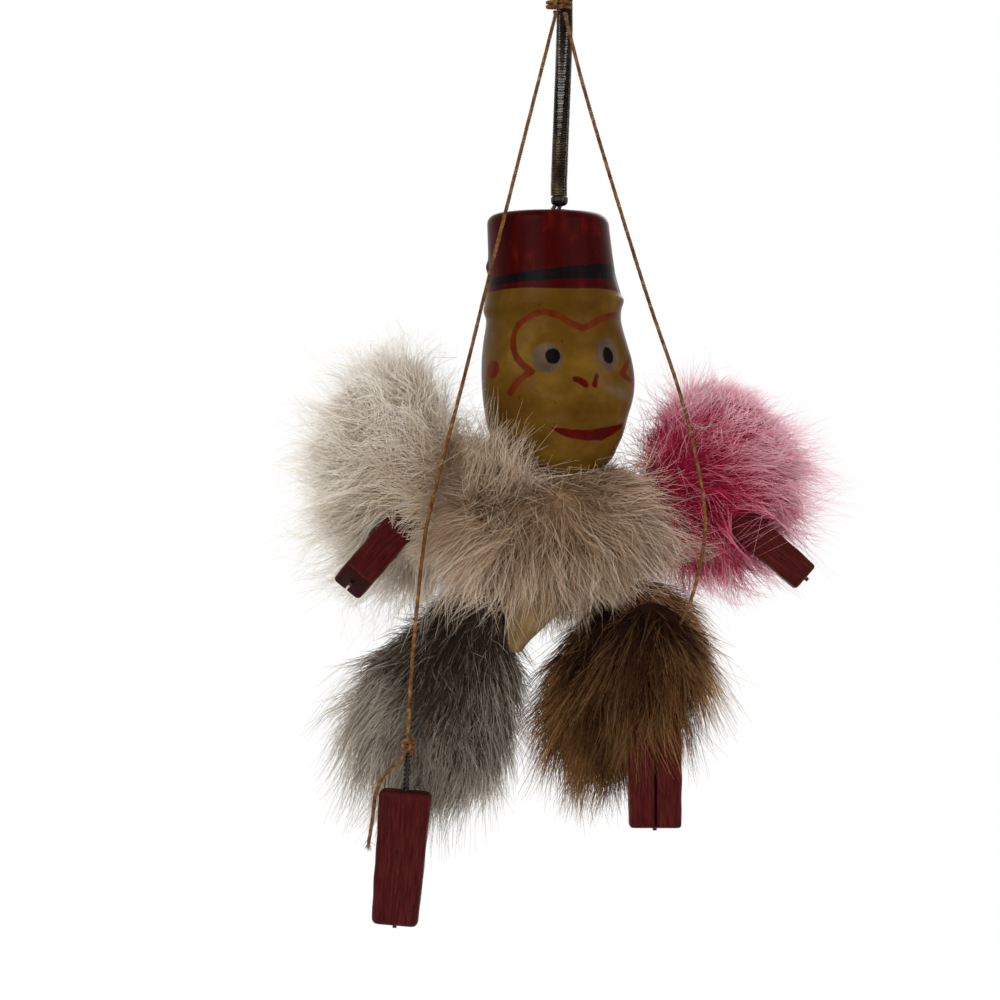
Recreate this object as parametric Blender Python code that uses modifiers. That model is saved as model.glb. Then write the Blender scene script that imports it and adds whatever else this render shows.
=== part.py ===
"""Toy monkey with a celluloid head, hung on a tension spring, with fur limbs and wooden hands and feet.

The origin is the hook's eye that the toy hangs by. X is to the viewer's right, Y away from the viewer, Z up.
Left and right are the viewer's. The pelts' solids are the fur's full form; only single loose hairs pass them.
"""

import math

import bmesh
import bpy
from mathutils import Matrix, Vector

MM = 0.001

# Clearances
SEAT_GAP = 0.3 * MM
RUNNING_GAP = 0.45 * MM

# Spring and its hook
EYE_RADIUS = 1.75 * MM
EYE_START = math.radians(-78)
EYE_SWEEP = math.radians(335)
STEM_LEAN = 0.2 * MM
SPRING_WIRE = 0.5 * MM
SPRING_DIAMETER = 3.3 * MM
SPRING_TOP = -5.6 * MM
SPRING_PITCH = 1.0 * MM
SPRING_CURLS = 38
SPRING_POINTS_PER_CURL = 8
SPRING_END_HEIGHT = 2.0 * MM
SPRING_END_EDGE = 0.2 * MM
SPRING_END_ROUND = 0.55

# Spine: a long wire loop from the spring's end to the hips
SPINE_WIRE = 0.8 * MM
SPINE_SPREAD = 1.3 * MM
SPINE_ARCH_SPREAD = 0.9 * MM
SPINE_X = -1.2 * MM
SPINE_TOP_X = -0.1 * MM
SPINE_BELOW_HIPS = 3.0 * MM
SPINE_ARCH_DEPTH = 1.2 * MM

# Head and fez
HEAD_TURN = math.radians(24)
HEAD_WALL = 0.7 * MM
HAT_GAP = 1.4 * MM
HAT_HEIGHT = 15.1 * MM
HAT_TOP_RADIUS = 11.5 * MM
HAT_BRIM_RADIUS = 12.3 * MM
HAT_HOLE_RADIUS = 1.9 * MM
HEAD_HEIGHT = 50.2 * MM
BROW_RADIUS = 13.3 * MM
TEMPLE_RADIUS = 12.9 * MM
CHEEK_RADIUS = 14.1 * MM
NECK_RADIUS = 5.2 * MM
MUZZLE_DEPTH = 4.6 * MM
MUZZLE_HALF_ANGLE = math.radians(34)
MUZZLE_BELOW_TOP = 40.5 * MM
MUZZLE_HALF_HEIGHT = 7.0 * MM
BROW_DEPTH = 0.9 * MM
HEAD_SEGMENTS = 40
STOP_RADIUS = 2.9 * MM
STOP_HEIGHT = 2.4 * MM
PLUG_HEIGHT = 5.0 * MM
TURNED_EDGE = 0.5 * MM

# Trunk
TORSO_Y = 1.5 * MM
TORSO_HEIGHT = 27.0 * MM
TORSO_HALF_WIDTH = 11.6 * MM
TORSO_HALF_DEPTH = 12.0 * MM
TORSO_HIP_TAPER = 0.5
TORSO_BELOW_HEAD = 0.9 * MM

# Links that carry the limbs
LINK_WIRE = 0.8 * MM
SHOULDER_DROP = 3.6 * MM
SHOULDERS_OUTSIDE_TORSO = 2.6 * MM
HIP_DROP = 18.0 * MM
HIPS_INSIDE_TORSO = 0.6 * MM
PIN_LENGTH = 2.6 * MM
PIN_BEND = 0.8 * MM
PIN_LIP = 0.8 * MM
EYE_CLEARANCE = 0.35 * MM
LIMB_WIRE = 0.8 * MM

# Arms and hands
HAND_LENGTH = 25.0 * MM
HAND_WIDTH = 6.2 * MM
HAND_THICKNESS = 6.4 * MM
LEFT_HAND_FROM_SHOULDER = Vector((-12.0, 1.4, -1.7)) * MM
LEFT_HAND_DIRECTION = Vector((-0.46, -0.70, -0.545))
RIGHT_HAND_FROM_SHOULDER = Vector((14.8, -3.0, 1.5)) * MM
RIGHT_HAND_DIRECTION = Vector((0.752, -0.06, -0.655))
LEFT_PELT_FROM_SHOULDER = Vector((-15.1, 4.2, 6.5)) * MM
LEFT_ARM_RADII = Vector((17.0, 12.4, 21.0)) * MM
RIGHT_PELT_FROM_SHOULDER = Vector((17.5, 4.2, 4.5)) * MM
WIRE_BEFORE_HAND = 1.5 * MM
EYE_NECK = 1.3 * MM
EYE_GAP_START = math.radians(50)
EYE_GAP_END = math.radians(340)
RIGHT_ARM_RADII = Vector((17.5, 12.4, 19.0)) * MM
ARM_RAISED = math.radians(25)
LEFT_ARM_LOWERED = math.radians(10)
RIGHT_ARM_LOWERED = math.radians(15)
LEFT_ARM_BESIDE_HEAD = 1.9 * MM
RIGHT_ARM_BESIDE_HEAD = 2.3 * MM
ARM_BESIDE_TRUNK = 1.9 * MM
HAND_OPENING = 9.0 * MM

# Legs and feet
FOOT_LENGTH = 25.2 * MM
FOOT_WIDTH = 9.8 * MM
FOOT_THICKNESS = 6.2 * MM
BLOCK_EDGE = 0.4 * MM
GROOVE_WIDTH = 1.5 * MM
NUB_LENGTH = 0.7 * MM
LEFT_KNOT_FROM_HIP = Vector((-16.5, -8.9, -31.7)) * MM
LEFT_FOOT_FROM_HIP = Vector((-16.9, -9.1, -40.3)) * MM
LEFT_FOOT_DIRECTION = Vector((-0.083, 0.0, -1.0))
RIGHT_KNOT_FROM_HIP = Vector((7.9, -8.9, -18.0)) * MM
RIGHT_FOOT_FROM_HIP = Vector((7.9, -9.1, -21.9)) * MM
RIGHT_FOOT_DIRECTION = Vector((0.0, 0.0, -1.0))
LEG_PELT_Y = 0.2 * MM
LEG_PELT_HALF_DEPTH = 9.6 * MM
LEG_BESIDE_TRUNK = 2.6 * MM
LEFT_LEG_PELT_LENGTH = 45.0 * MM
LEFT_LEG_PELT_HALF_WIDTH = 20.0 * MM
LEFT_LEG_PELT_LEAN = math.radians(24)
LEFT_LEG_INNER_LEAN = math.radians(6)
RIGHT_LEG_PELT_LENGTH = 43.0 * MM
RIGHT_LEG_PELT_HALF_WIDTH = 15.5 * MM
RIGHT_LEG_PELT_LEAN = math.radians(9)
RIGHT_LEG_INNER_LEAN = math.radians(19)
LEG_PELT_BELOW_PIVOT = 1.6 * MM
KNOT_NOTCH_RADIUS = 6.5 * MM
KNOT_NOTCH_DEPTH = 10.0 * MM
WIRE_BEFORE_FOOT = 1.0 * MM
HIP_ROOM_HEIGHT = 6.0 * MM

# Strings
STRING_DIAMETER = 0.8 * MM
KNOT_THICKNESS = 1.0 * MM
KNOT_TURNS = 1.7
STRING_ABOVE_KNOT = 0.6 * MM
TOP_KNOT_BELOW_SPRING_TOP = 1.9 * MM
STRING_STEP = 2.4 * MM
LEFT_STRING_ROUTE = (
    (-0.7, -2.9, -9.6),
    (-5.3, -6.0, -28.0),
    (-10.1, -9.9, -47.4),
    (-14.2, -10.4, -63.6),
    (-18.0, -10.4, -79.0),
    (-24.3, -10.3, -103.5),
    (-25.9, -10.3, -112.5),
    (-27.4, -10.6, -127.0),
    (-28.3, -11.0, -139.0),
)
RIGHT_STRING_ROUTE = (
    (0.9, -2.9, -9.6),
    (5.6, -4.0, -27.8),
    (15.8, -6.6, -61.9),
    (22.0, -8.4, -80.7),
    (25.4, -9.6, -94.0),
    (27.2, -10.3, -107.7),
    (24.6, -10.6, -121.0),
    (20.3, -10.8, -129.5),
)
TAIL_ROUTE = (
    (-29.4, -11.6, -151.4),
    (-33.2, -12.0, -154.3),
    (-34.7, -12.2, -157.7),
    (-35.3, -12.3, -162.4),
    (-36.0, -12.2, -166.8),
)

# Places that follow from the sizes above
SPRING_BOTTOM = SPRING_TOP - SPRING_CURLS * SPRING_PITCH - SPRING_WIRE
SPRING_MEAN_RADIUS = (SPRING_DIAMETER - SPRING_WIRE) / 2
SPRING_END_TOP = SPRING_BOTTOM - SEAT_GAP
SPRING_END_BOTTOM = SPRING_END_TOP - SPRING_END_HEIGHT
HEAD_TOP = SPRING_END_BOTTOM - HAT_GAP
HEAD_BOTTOM = HEAD_TOP - HEAD_HEIGHT
TORSO_TOP = HEAD_BOTTOM - TORSO_BELOW_HEAD
SHOULDER_Z = TORSO_TOP - SHOULDER_DROP
HIP_Z = TORSO_TOP - HIP_DROP
SHOULDER_SPAN = 2 * (TORSO_HALF_WIDTH + SHOULDERS_OUTSIDE_TORSO)
HIP_SPAN = 2 * (TORSO_HALF_WIDTH - HIPS_INSIDE_TORSO)
LINK_RADIUS = LINK_WIRE / 2
LINK_OFFSET = SPINE_WIRE / 2 + LINK_RADIUS + SEAT_GAP
SHOULDER_Y = LINK_OFFSET - PIN_LENGTH / 2
HIP_Y = -LINK_OFFSET
SPINE_ROOM_RADIUS = (SPINE_SPREAD + SPINE_WIRE) / 2 + SEAT_GAP
LIMB_EYE_RADIUS = LINK_RADIUS + EYE_CLEARANCE + LIMB_WIRE / 2
LEFT_SHOULDER = Vector((SPINE_X - SHOULDER_SPAN / 2, SHOULDER_Y, SHOULDER_Z))
RIGHT_SHOULDER = Vector((SPINE_X + SHOULDER_SPAN / 2, SHOULDER_Y, SHOULDER_Z))
LEFT_HIP = Vector((SPINE_X - HIP_SPAN / 2, HIP_Y, HIP_Z))
RIGHT_HIP = Vector((SPINE_X + HIP_SPAN / 2, HIP_Y, HIP_Z))
LEFT_KNOT = LEFT_HIP + LEFT_KNOT_FROM_HIP
RIGHT_KNOT = RIGHT_HIP + RIGHT_KNOT_FROM_HIP

# Colours from the photograph: red, green, blue, roughness, metallic
FINISHES = {
    "spring_steel": (0.16, 0.12, 0.08, 0.40, 0.9),
    "black_wire": (0.02, 0.018, 0.016, 0.45, 0.5),
    "celluloid": (0.42, 0.26, 0.05, 0.18, 0.0),
    "red_wood": (0.24, 0.02, 0.02, 0.45, 0.0),
    "plain_wood": (0.45, 0.28, 0.14, 0.7, 0.0),
    "white_fur": (0.72, 0.66, 0.58, 0.9, 0.0),
    "pink_fur": (0.72, 0.05, 0.22, 0.9, 0.0),
    "grey_fur": (0.25, 0.21, 0.17, 0.9, 0.0),
    "brown_fur": (0.28, 0.13, 0.05, 0.9, 0.0),
    "thread": (0.36, 0.16, 0.05, 0.85, 0.0),
}


def clear_scene():
    for old in list(bpy.data.objects):
        bpy.data.objects.remove(old, do_unlink=True)


def make_collection(name):
    collection = bpy.data.collections.new(name)
    bpy.context.scene.collection.children.link(collection)
    return collection


def make_material(name, finish):
    red, green, blue, roughness, metallic = FINISHES[finish]
    material = bpy.data.materials.new(name)
    material.use_nodes = True
    shader = material.node_tree.nodes["Principled BSDF"]
    shader.inputs["Base Color"].default_value = (red, green, blue, 1.0)
    shader.inputs["Roughness"].default_value = roughness
    shader.inputs["Metallic"].default_value = metallic
    material.diffuse_color = (red, green, blue, 1.0)
    return material


def add_object(name, data, finish, parent=None):
    """Adds one sub-part. Its data is in world coordinates, and its origin moves to its parent's place."""
    piece = bpy.data.objects.new(name, data)
    parts.objects.link(piece)
    data.materials.clear()
    data.materials.append(make_material(name, finish))
    if parent:
        piece.parent = parent
        data.transform(Matrix.Translation(-parent.location))
    return piece


def add_cutter(name, mesh):
    cutter = bpy.data.objects.new(name, mesh)
    cutters.objects.link(cutter)
    cutter.hide_render = True
    cutter.display_type = "WIRE"
    return cutter


def add_pivot(name, place):
    """An empty on a joint's axis, which the joint's moving pieces are parented to."""
    pivot = bpy.data.objects.new(name, None)
    pivot.empty_display_size = 4 * MM
    pivot.location = place
    parts.objects.link(pivot)
    return pivot


def cut(piece, cutter):
    boolean = piece.modifiers.new("Cut " + cutter.name, "BOOLEAN")
    boolean.operation = "DIFFERENCE"
    boolean.solver = "EXACT"
    boolean.use_self = True
    boolean.object = cutter


def wire_curve(name, points, diameter, cyclic=False, resolution=2):
    curve = bpy.data.curves.new(name, "CURVE")
    curve.dimensions = "3D"
    curve.bevel_depth = diameter / 2
    curve.bevel_resolution = resolution
    curve.use_fill_caps = True
    spline = curve.splines.new("POLY")
    spline.points.add(len(points) - 1)
    for spline_point, place in zip(spline.points, points):
        spline_point.co = (*place, 1.0)
    spline.use_cyclic_u = cyclic
    return curve


def wire_mesh(name, points, diameter, cyclic=False, resolution=2):
    """A wire as a closed mesh, which can be cut or be a cutter."""
    guide = bpy.data.objects.new(name + "_guide", wire_curve(name, points, diameter, cyclic, resolution))
    bpy.context.scene.collection.objects.link(guide)
    bpy.context.view_layer.update()
    evaluated = guide.evaluated_get(bpy.context.evaluated_depsgraph_get())
    mesh = bpy.data.meshes.new_from_object(evaluated)
    mesh.name = name
    welded = bmesh.new()
    welded.from_mesh(mesh)
    bmesh.ops.remove_doubles(welded, verts=welded.verts, dist=1e-6)
    bmesh.ops.recalc_face_normals(welded, faces=welded.faces)
    welded.to_mesh(mesh)
    welded.free()
    bpy.data.objects.remove(guide, do_unlink=True)
    return mesh


def smooth_route(corners, step):
    """Points about one step apart on a smooth curve through the corners."""
    places = [Vector(corner) for corner in corners]
    padded = [2 * places[0] - places[1], *places, 2 * places[-1] - places[-2]]
    route = [places[0]]
    for before, start, end, after in zip(padded, padded[1:], padded[2:], padded[3:]):
        count = max(1, round((end - start).length / step))
        for index in range(1, count + 1):
            t = index / count
            route.append(
                0.5
                * (
                    2 * start
                    + (end - before) * t
                    + (2 * before - 5 * start + 4 * end - after) * t**2
                    + (3 * start - before - 3 * end + after) * t**3
                )
            )
    return route


def arc(centre, radius, along, across, start, end, count):
    """Points on an arc in the plane of two unit vectors, angles in radians."""
    angles = [start + (end - start) * index / count for index in range(count + 1)]
    return [centre + radius * (math.cos(a) * along + math.sin(a) * across) for a in angles]


def turned_mesh(name, profile, place, segments=24):
    """A solid of revolution about Z: a profile of (radius, height) from top axis to bottom axis."""
    mesh = bpy.data.meshes.new(name)
    shape = bmesh.new()
    ring = [shape.verts.new((radius, 0, height)) for radius, height in profile]
    edges = [shape.edges.new(pair) for pair in zip(ring, ring[1:])]
    bmesh.ops.spin(
        shape,
        geom=ring + edges,
        axis=(0, 0, 1),
        cent=(0, 0, 0),
        angle=math.tau,
        steps=segments,
        use_merge=True,
    )
    bmesh.ops.remove_doubles(shape, verts=shape.verts, dist=1e-7)
    bmesh.ops.recalc_face_normals(shape, faces=shape.faces)
    shape.to_mesh(mesh)
    shape.free()
    mesh.transform(Matrix.Translation(place))
    return mesh


def shade(mesh, sharp_degrees=40):
    mesh.shade_smooth()
    mesh.set_sharp_from_angle(angle=math.radians(sharp_degrees))


def distance_to_self(points, wire):
    """The least gap between turns of a coil, from its points and its wire's diameter."""
    skip = SPRING_POINTS_PER_CURL // 2
    nearest = min(
        (first - second).length
        for index, first in enumerate(points)
        for second in points[index + skip : index + 3 * SPRING_POINTS_PER_CURL]
    )
    return nearest - wire


def make_hook():
    """The spring wire's turned end: a stem up from the coils and an eye round the origin."""
    eye_radius = EYE_RADIUS + SPRING_WIRE / 2
    centre = Vector((0, 0, -EYE_RADIUS))
    side, up = Vector((1, 0, 0)), Vector((0, 0, 1))
    foot = SPRING_TOP + SEAT_GAP + SPRING_WIRE / 2
    points = [
        Vector((SPRING_MEAN_RADIUS, 0, foot)),
        Vector((SPRING_MEAN_RADIUS / 2, 0, foot + STEM_LEAN / 2)),
        Vector((0, 0, (foot + centre.z - eye_radius) / 2 + STEM_LEAN)),
    ]
    points += arc(centre, eye_radius, side, up, EYE_START, EYE_START + EYE_SWEEP, 22)
    add_object("top_hook", wire_mesh("top_hook", points, SPRING_WIRE), "spring_steel")


def make_spring():
    count = SPRING_CURLS * SPRING_POINTS_PER_CURL
    points = []
    for index in range(count + 1):
        angle = math.tau * index / SPRING_POINTS_PER_CURL
        height = SPRING_TOP - SPRING_WIRE / 2 - SPRING_PITCH * index / SPRING_POINTS_PER_CURL
        points.append(
            Vector((SPRING_MEAN_RADIUS * math.cos(angle), SPRING_MEAN_RADIUS * math.sin(angle), height))
        )
    print(f"Least gap between the spring's curls: {distance_to_self(points, SPRING_WIRE) / MM:.2f} mm")
    curve = wire_curve("bounce_spring", points, SPRING_WIRE, resolution=1)
    add_object("bounce_spring", curve, "spring_steel")


def spine_points():
    """The spine's closed loop: an arch in the spring's end, two legs and a bend below the hips."""
    reach = SPINE_SPREAD / 2
    side, up = Vector((1, 0, 0)), Vector((0, 0, 1))
    top = Vector((SPINE_TOP_X, 0, SPRING_END_TOP - SPINE_ARCH_DEPTH))
    bottom = Vector((SPINE_X, 0, HIP_Z - SPINE_BELOW_HIPS + reach))
    points = arc(top, SPINE_ARCH_SPREAD / 2, side, up, 0, math.pi, 6)
    points.append(Vector((SPINE_X - reach, 0, HEAD_TOP)))
    points += arc(bottom, reach, side, up, math.pi, math.tau, 6)
    points.append(Vector((SPINE_X + reach, 0, HEAD_TOP)))
    return points


def make_spring_end(body):
    """The spring's black lacquered end, rounded below, with the spine's arch set in it."""
    radius = SPRING_DIAMETER / 2
    low = SPRING_END_BOTTOM - SPRING_END_TOP
    profile = [(0, 0), (radius - SPRING_END_EDGE, 0), (radius, -SPRING_END_EDGE)]
    profile += [
        (radius * math.cos(angle), low * (1 - SPRING_END_ROUND + SPRING_END_ROUND * math.sin(angle)))
        for angle in (math.radians(degrees) for degrees in (0, 22, 45, 68))
    ]
    profile.append((0, low))
    mesh = turned_mesh("spring_end", profile, (0, 0, SPRING_END_TOP))
    shade(mesh)
    return add_object("spring_end", mesh, "black_wire", body)


def make_spine(body):
    mesh = wire_mesh("spine_wire", spine_points(), SPINE_WIRE, cyclic=True)
    add_object("spine_wire", mesh, "black_wire", body)


def head_sections():
    """(height below the hat's top, radius) down the head, without the face."""
    edge = 1.0 * MM
    hat_low = HAT_HEIGHT
    return [
        (0.0, HAT_HOLE_RADIUS),
        (-0.05 * MM, HAT_TOP_RADIUS * 0.55),
        (0.0, HAT_TOP_RADIUS - 1.6 * edge),
        (0.25 * edge, HAT_TOP_RADIUS - 0.55 * edge),
        (edge, HAT_TOP_RADIUS),
        (hat_low * 0.5, (HAT_TOP_RADIUS + HAT_BRIM_RADIUS) / 2),
        (hat_low - 1.0 * MM, HAT_BRIM_RADIUS),
        (hat_low, HAT_BRIM_RADIUS),
        (hat_low + 0.9 * MM, BROW_RADIUS - 0.3 * MM),
        (hat_low + 2.2 * MM, BROW_RADIUS),
        (hat_low + 4.6 * MM, TEMPLE_RADIUS),
        (hat_low + 7.0 * MM, (TEMPLE_RADIUS + CHEEK_RADIUS) / 2),
        (hat_low + 10.5 * MM, CHEEK_RADIUS - 0.25 * MM),
        (hat_low + 14.0 * MM, CHEEK_RADIUS),
        (hat_low + 17.5 * MM, CHEEK_RADIUS - 0.2 * MM),
        (hat_low + 21.0 * MM, CHEEK_RADIUS - 0.8 * MM),
        (hat_low + 24.5 * MM, CHEEK_RADIUS - 1.8 * MM),
        (hat_low + 27.8 * MM, CHEEK_RADIUS - 3.2 * MM),
        (hat_low + 30.5 * MM, CHEEK_RADIUS - 4.8 * MM),
        (hat_low + 32.8 * MM, CHEEK_RADIUS - 6.6 * MM),
        (HEAD_HEIGHT - 0.7 * MM, NECK_RADIUS + 1.6 * MM),
        (HEAD_HEIGHT, NECK_RADIUS),
    ]


def face_relief(angle, below_top):
    """How far the face stands out of the plain skull: the muzzle and the brow above the eyes."""
    round_the_side = math.exp(-((angle / MUZZLE_HALF_ANGLE) ** 2))
    down = (below_top - MUZZLE_BELOW_TOP) / MUZZLE_HALF_HEIGHT
    muzzle = MUZZLE_DEPTH * round_the_side * math.exp(-(abs(down) ** 3))
    brow_angle = math.exp(-((angle / math.radians(50)) ** 4))
    brow_height = (below_top - HAT_HEIGHT - 4.2 * MM) / (2.0 * MM)
    return muzzle + BROW_DEPTH * brow_angle * math.exp(-(brow_height**2))


def make_head(body):
    """The blown shell of head and fez: sections lofted round the skull's axis, faced at HEAD_TURN."""
    shape = bmesh.new()
    rings = []
    for below_top, radius in head_sections():
        ring = []
        for index in range(HEAD_SEGMENTS):
            angle = math.tau * index / HEAD_SEGMENTS
            from_front = math.remainder(angle, math.tau)
            reach = radius + (face_relief(from_front, below_top) if below_top > HAT_HEIGHT else 0)
            chin = MUZZLE_DEPTH * 0.25 * math.exp(-((from_front / MUZZLE_HALF_ANGLE) ** 2))
            lower = chin * max(0, below_top / HEAD_HEIGHT - 0.75) * 4
            direction = Vector((math.sin(angle + HEAD_TURN), -math.cos(angle + HEAD_TURN), 0))
            place = Vector((SPINE_X, 0, HEAD_TOP - below_top - lower)) + direction * reach
            ring.append(shape.verts.new(place))
        rings.append(ring)
    for upper, lower in zip(rings, rings[1:]):
        for index in range(HEAD_SEGMENTS):
            following = (index + 1) % HEAD_SEGMENTS
            shape.faces.new((upper[index], lower[index], lower[following], upper[following]))
    mesh = bpy.data.meshes.new("head")
    bmesh.ops.recalc_face_normals(shape, faces=shape.faces)
    shape.to_mesh(mesh)
    shape.free()
    shade(mesh)
    head = add_object("head", mesh, "celluloid", body)
    solidify = head.modifiers.new("Celluloid wall", "SOLIDIFY")
    solidify.thickness = HEAD_WALL
    solidify.offset = -1
    solidify.use_even_offset = True


def make_head_stop(body):
    """A bead on the spine, which the hat's top rests on from inside."""
    inner = STOP_RADIUS - TURNED_EDGE
    profile = [(0, 0), (inner, 0), (STOP_RADIUS, -TURNED_EDGE)]
    profile += [(STOP_RADIUS, TURNED_EDGE - STOP_HEIGHT), (inner, -STOP_HEIGHT), (0, -STOP_HEIGHT)]
    top = HEAD_TOP - HEAD_WALL - SEAT_GAP
    mesh = turned_mesh("head_stop", profile, (SPINE_X, 0, top), 20)
    shade(mesh)
    return add_object("head_stop", mesh, "plain_wood", body)


def make_neck_plug(body):
    """A turned plug that centres the open neck on the spine."""
    radius = NECK_RADIUS - HEAD_WALL - RUNNING_GAP
    profile = [(0, 0), (radius - TURNED_EDGE, 0), (radius, -TURNED_EDGE)]
    profile += [(radius, -PLUG_HEIGHT), (0, -PLUG_HEIGHT)]
    place = (SPINE_X, 0, TORSO_TOP + SEAT_GAP + PLUG_HEIGHT)
    mesh = turned_mesh("neck_plug", profile, place, 24)
    shade(mesh)
    return add_object("neck_plug", mesh, "plain_wood", body)


def turned_end(corner, inward, pin, lip):
    """A link's end: a bend from the bar into a pin, and a lip past the pin. Listed from the bar outwards."""
    bend = arc(corner + inward * PIN_BEND + pin * PIN_BEND, PIN_BEND, -pin, -inward, 0, math.pi / 2, 4)
    tip = corner + pin * PIN_LENGTH
    return [*bend, tip - pin * PIN_BEND * 0.6, tip + lip * PIN_LIP * 0.6, tip + lip * PIN_LIP * 1.6]


def shoulder_points():
    """A wire across the back of the spine, its ends turned forward as pins for the arms' eyes."""
    out, forward, up = Vector((1, 0, 0)), Vector((0, -1, 0)), Vector((0, 0, 1))
    back = Vector((0, PIN_LENGTH / 2, 0))
    left = turned_end(LEFT_SHOULDER + back, out, forward, up)
    right = turned_end(RIGHT_SHOULDER + back, -out, forward, up)
    return [*reversed(left), *right]


def shoulder_bar():
    back = Vector((0, PIN_LENGTH / 2, 0))
    return LEFT_SHOULDER + back, RIGHT_SHOULDER + back


def hip_points():
    """A wire across the front of the spine, its ends turned up outside the legs' eyes."""
    out, up = Vector((1, 0, 0)), Vector((0, 0, 1))
    reach = Vector((PIN_LENGTH / 2, 0, 0))
    left = arc(LEFT_HIP - reach + up * PIN_BEND, PIN_BEND, -up, -out, 0, math.pi / 2, 4)
    right = arc(RIGHT_HIP + reach + up * PIN_BEND, PIN_BEND, -up, out, 0, math.pi / 2, 4)
    return [left[-1] + up * PIN_LIP, *reversed(left), *right, right[-1] + up * PIN_LIP]


def make_links(body):
    shoulder = wire_mesh("shoulder_link", shoulder_points(), LINK_WIRE)
    add_object("shoulder_link", shoulder, "black_wire", body)
    hip = wire_mesh("hip_link", hip_points(), LINK_WIRE)
    add_object("hip_link", hip, "black_wire", body)


def rounded_solid(name, centre, radii, taper=0.0, lean=0.0, segments=20, rings=14):
    """A soft egg: a sphere stretched to its radii, narrowed towards its top by taper, and leant in XZ."""
    shape = bmesh.new()
    bmesh.ops.create_uvsphere(shape, u_segments=segments, v_segments=rings, radius=1.0)
    for vert in shape.verts:
        width = 1.0 - taper * (vert.co.z + 0.15)
        vert.co.x *= width * radii.x
        vert.co.y *= width * radii.y
        vert.co.z *= radii.z
    mesh = bpy.data.meshes.new(name)
    shape.to_mesh(mesh)
    shape.free()
    mesh.transform(Matrix.Translation(centre) @ Matrix.Rotation(lean, 4, "Y"))
    shade(mesh, 60)
    return mesh


def press(mesh, centre, planes):
    """Flattens a soft solid where it meets its neighbours. Each plane is a point and a normal out of the solid."""
    for vert in mesh.vertices:
        ray = vert.co - centre
        share = 1.0
        for point, normal in planes:
            past = ray.dot(normal)
            if past > 0:
                share = min(share, (point - centre).dot(normal) / past)
        vert.co = centre + ray * share


def arm_planes(shoulder, outward, lowered, beside_head):
    """Where an arm's pelt stops, so that it clears the head when it's raised and the trunk when it's lowered."""
    inward, up = Vector((-outward, 0, 0)), Vector((0, 0, 1))
    to_head = inward * math.cos(ARM_RAISED) + up * math.sin(ARM_RAISED)
    to_trunk = inward * math.cos(lowered) - up * math.sin(lowered)
    return (
        (shoulder - to_head * beside_head, to_head),
        (shoulder - to_trunk * ARM_BESIDE_TRUNK, to_trunk),
    )


def wire_room(name, points, wire, parent=None):
    """The space that a wire and its clearance take out of what it runs through."""
    mesh = wire_mesh(name, points, wire + 2 * SEAT_GAP)
    if parent:
        mesh.transform(Matrix.Translation(-parent.location))
    cutter = add_cutter(name, mesh)
    cutter.parent = parent
    return cutter


def bar_room(name, left, right):
    """The straight bore for a limb link, past both sides of the trunk."""
    return wire_room(name, [left, right], LINK_WIRE)


def spine_room():
    """The bore for both legs of the spine, from above the neck plug to just below the spine's bend."""
    mesh = bpy.data.meshes.new("spine_room")
    shape = bmesh.new()
    top = HEAD_TOP
    bottom = HIP_Z - SPINE_BELOW_HIPS - SPINE_WIRE / 2 - SEAT_GAP
    bmesh.ops.create_cone(
        shape,
        cap_ends=True,
        segments=20,
        radius1=SPINE_ROOM_RADIUS,
        radius2=SPINE_ROOM_RADIUS,
        depth=top - bottom,
    )
    shape.to_mesh(mesh)
    shape.free()
    mesh.transform(Matrix.Translation((SPINE_X, 0, (top + bottom) / 2)))
    return add_cutter("spine_room", mesh)


def arch_room():
    """The pocket in the spring's end that the spine's arch is set in."""
    width = SPINE_ARCH_SPREAD + SPINE_WIRE + 2 * SEAT_GAP
    top = SPRING_END_TOP - SPINE_ARCH_DEPTH + width / 2
    bottom = SPRING_END_BOTTOM - 1 * MM
    shape = bmesh.new()
    bmesh.ops.create_cube(shape, size=1.0)
    bmesh.ops.scale(shape, vec=(width, SPINE_WIRE + 2 * SEAT_GAP, top - bottom), verts=shape.verts)
    mesh = bpy.data.meshes.new("arch_room")
    shape.to_mesh(mesh)
    shape.free()
    mesh.transform(Matrix.Translation((SPINE_TOP_X, 0, (top + bottom) / 2)))
    return add_cutter("arch_room", mesh)


def make_torso(body):
    """The trunk's pelt, narrow at the hips, open where the wires run through it."""
    radii = Vector((TORSO_HALF_WIDTH, TORSO_HALF_DEPTH, TORSO_HEIGHT / 2))
    centre = Vector((SPINE_X, TORSO_Y, TORSO_TOP - TORSO_HEIGHT / 2))
    mesh = rounded_solid("torso_pelt", centre, radii, taper=-TORSO_HIP_TAPER, segments=24)
    return add_object("torso_pelt", mesh, "white_fur", body)


def block_frame(direction, width_hint):
    """Axes of a stick: X along its width, Y through its thickness, Z back along it."""
    along = -direction.normalized()
    thick = along.cross(width_hint).normalized()
    width = thick.cross(along).normalized()
    return Matrix((width, thick, along)).transposed().to_4x4()


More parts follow.
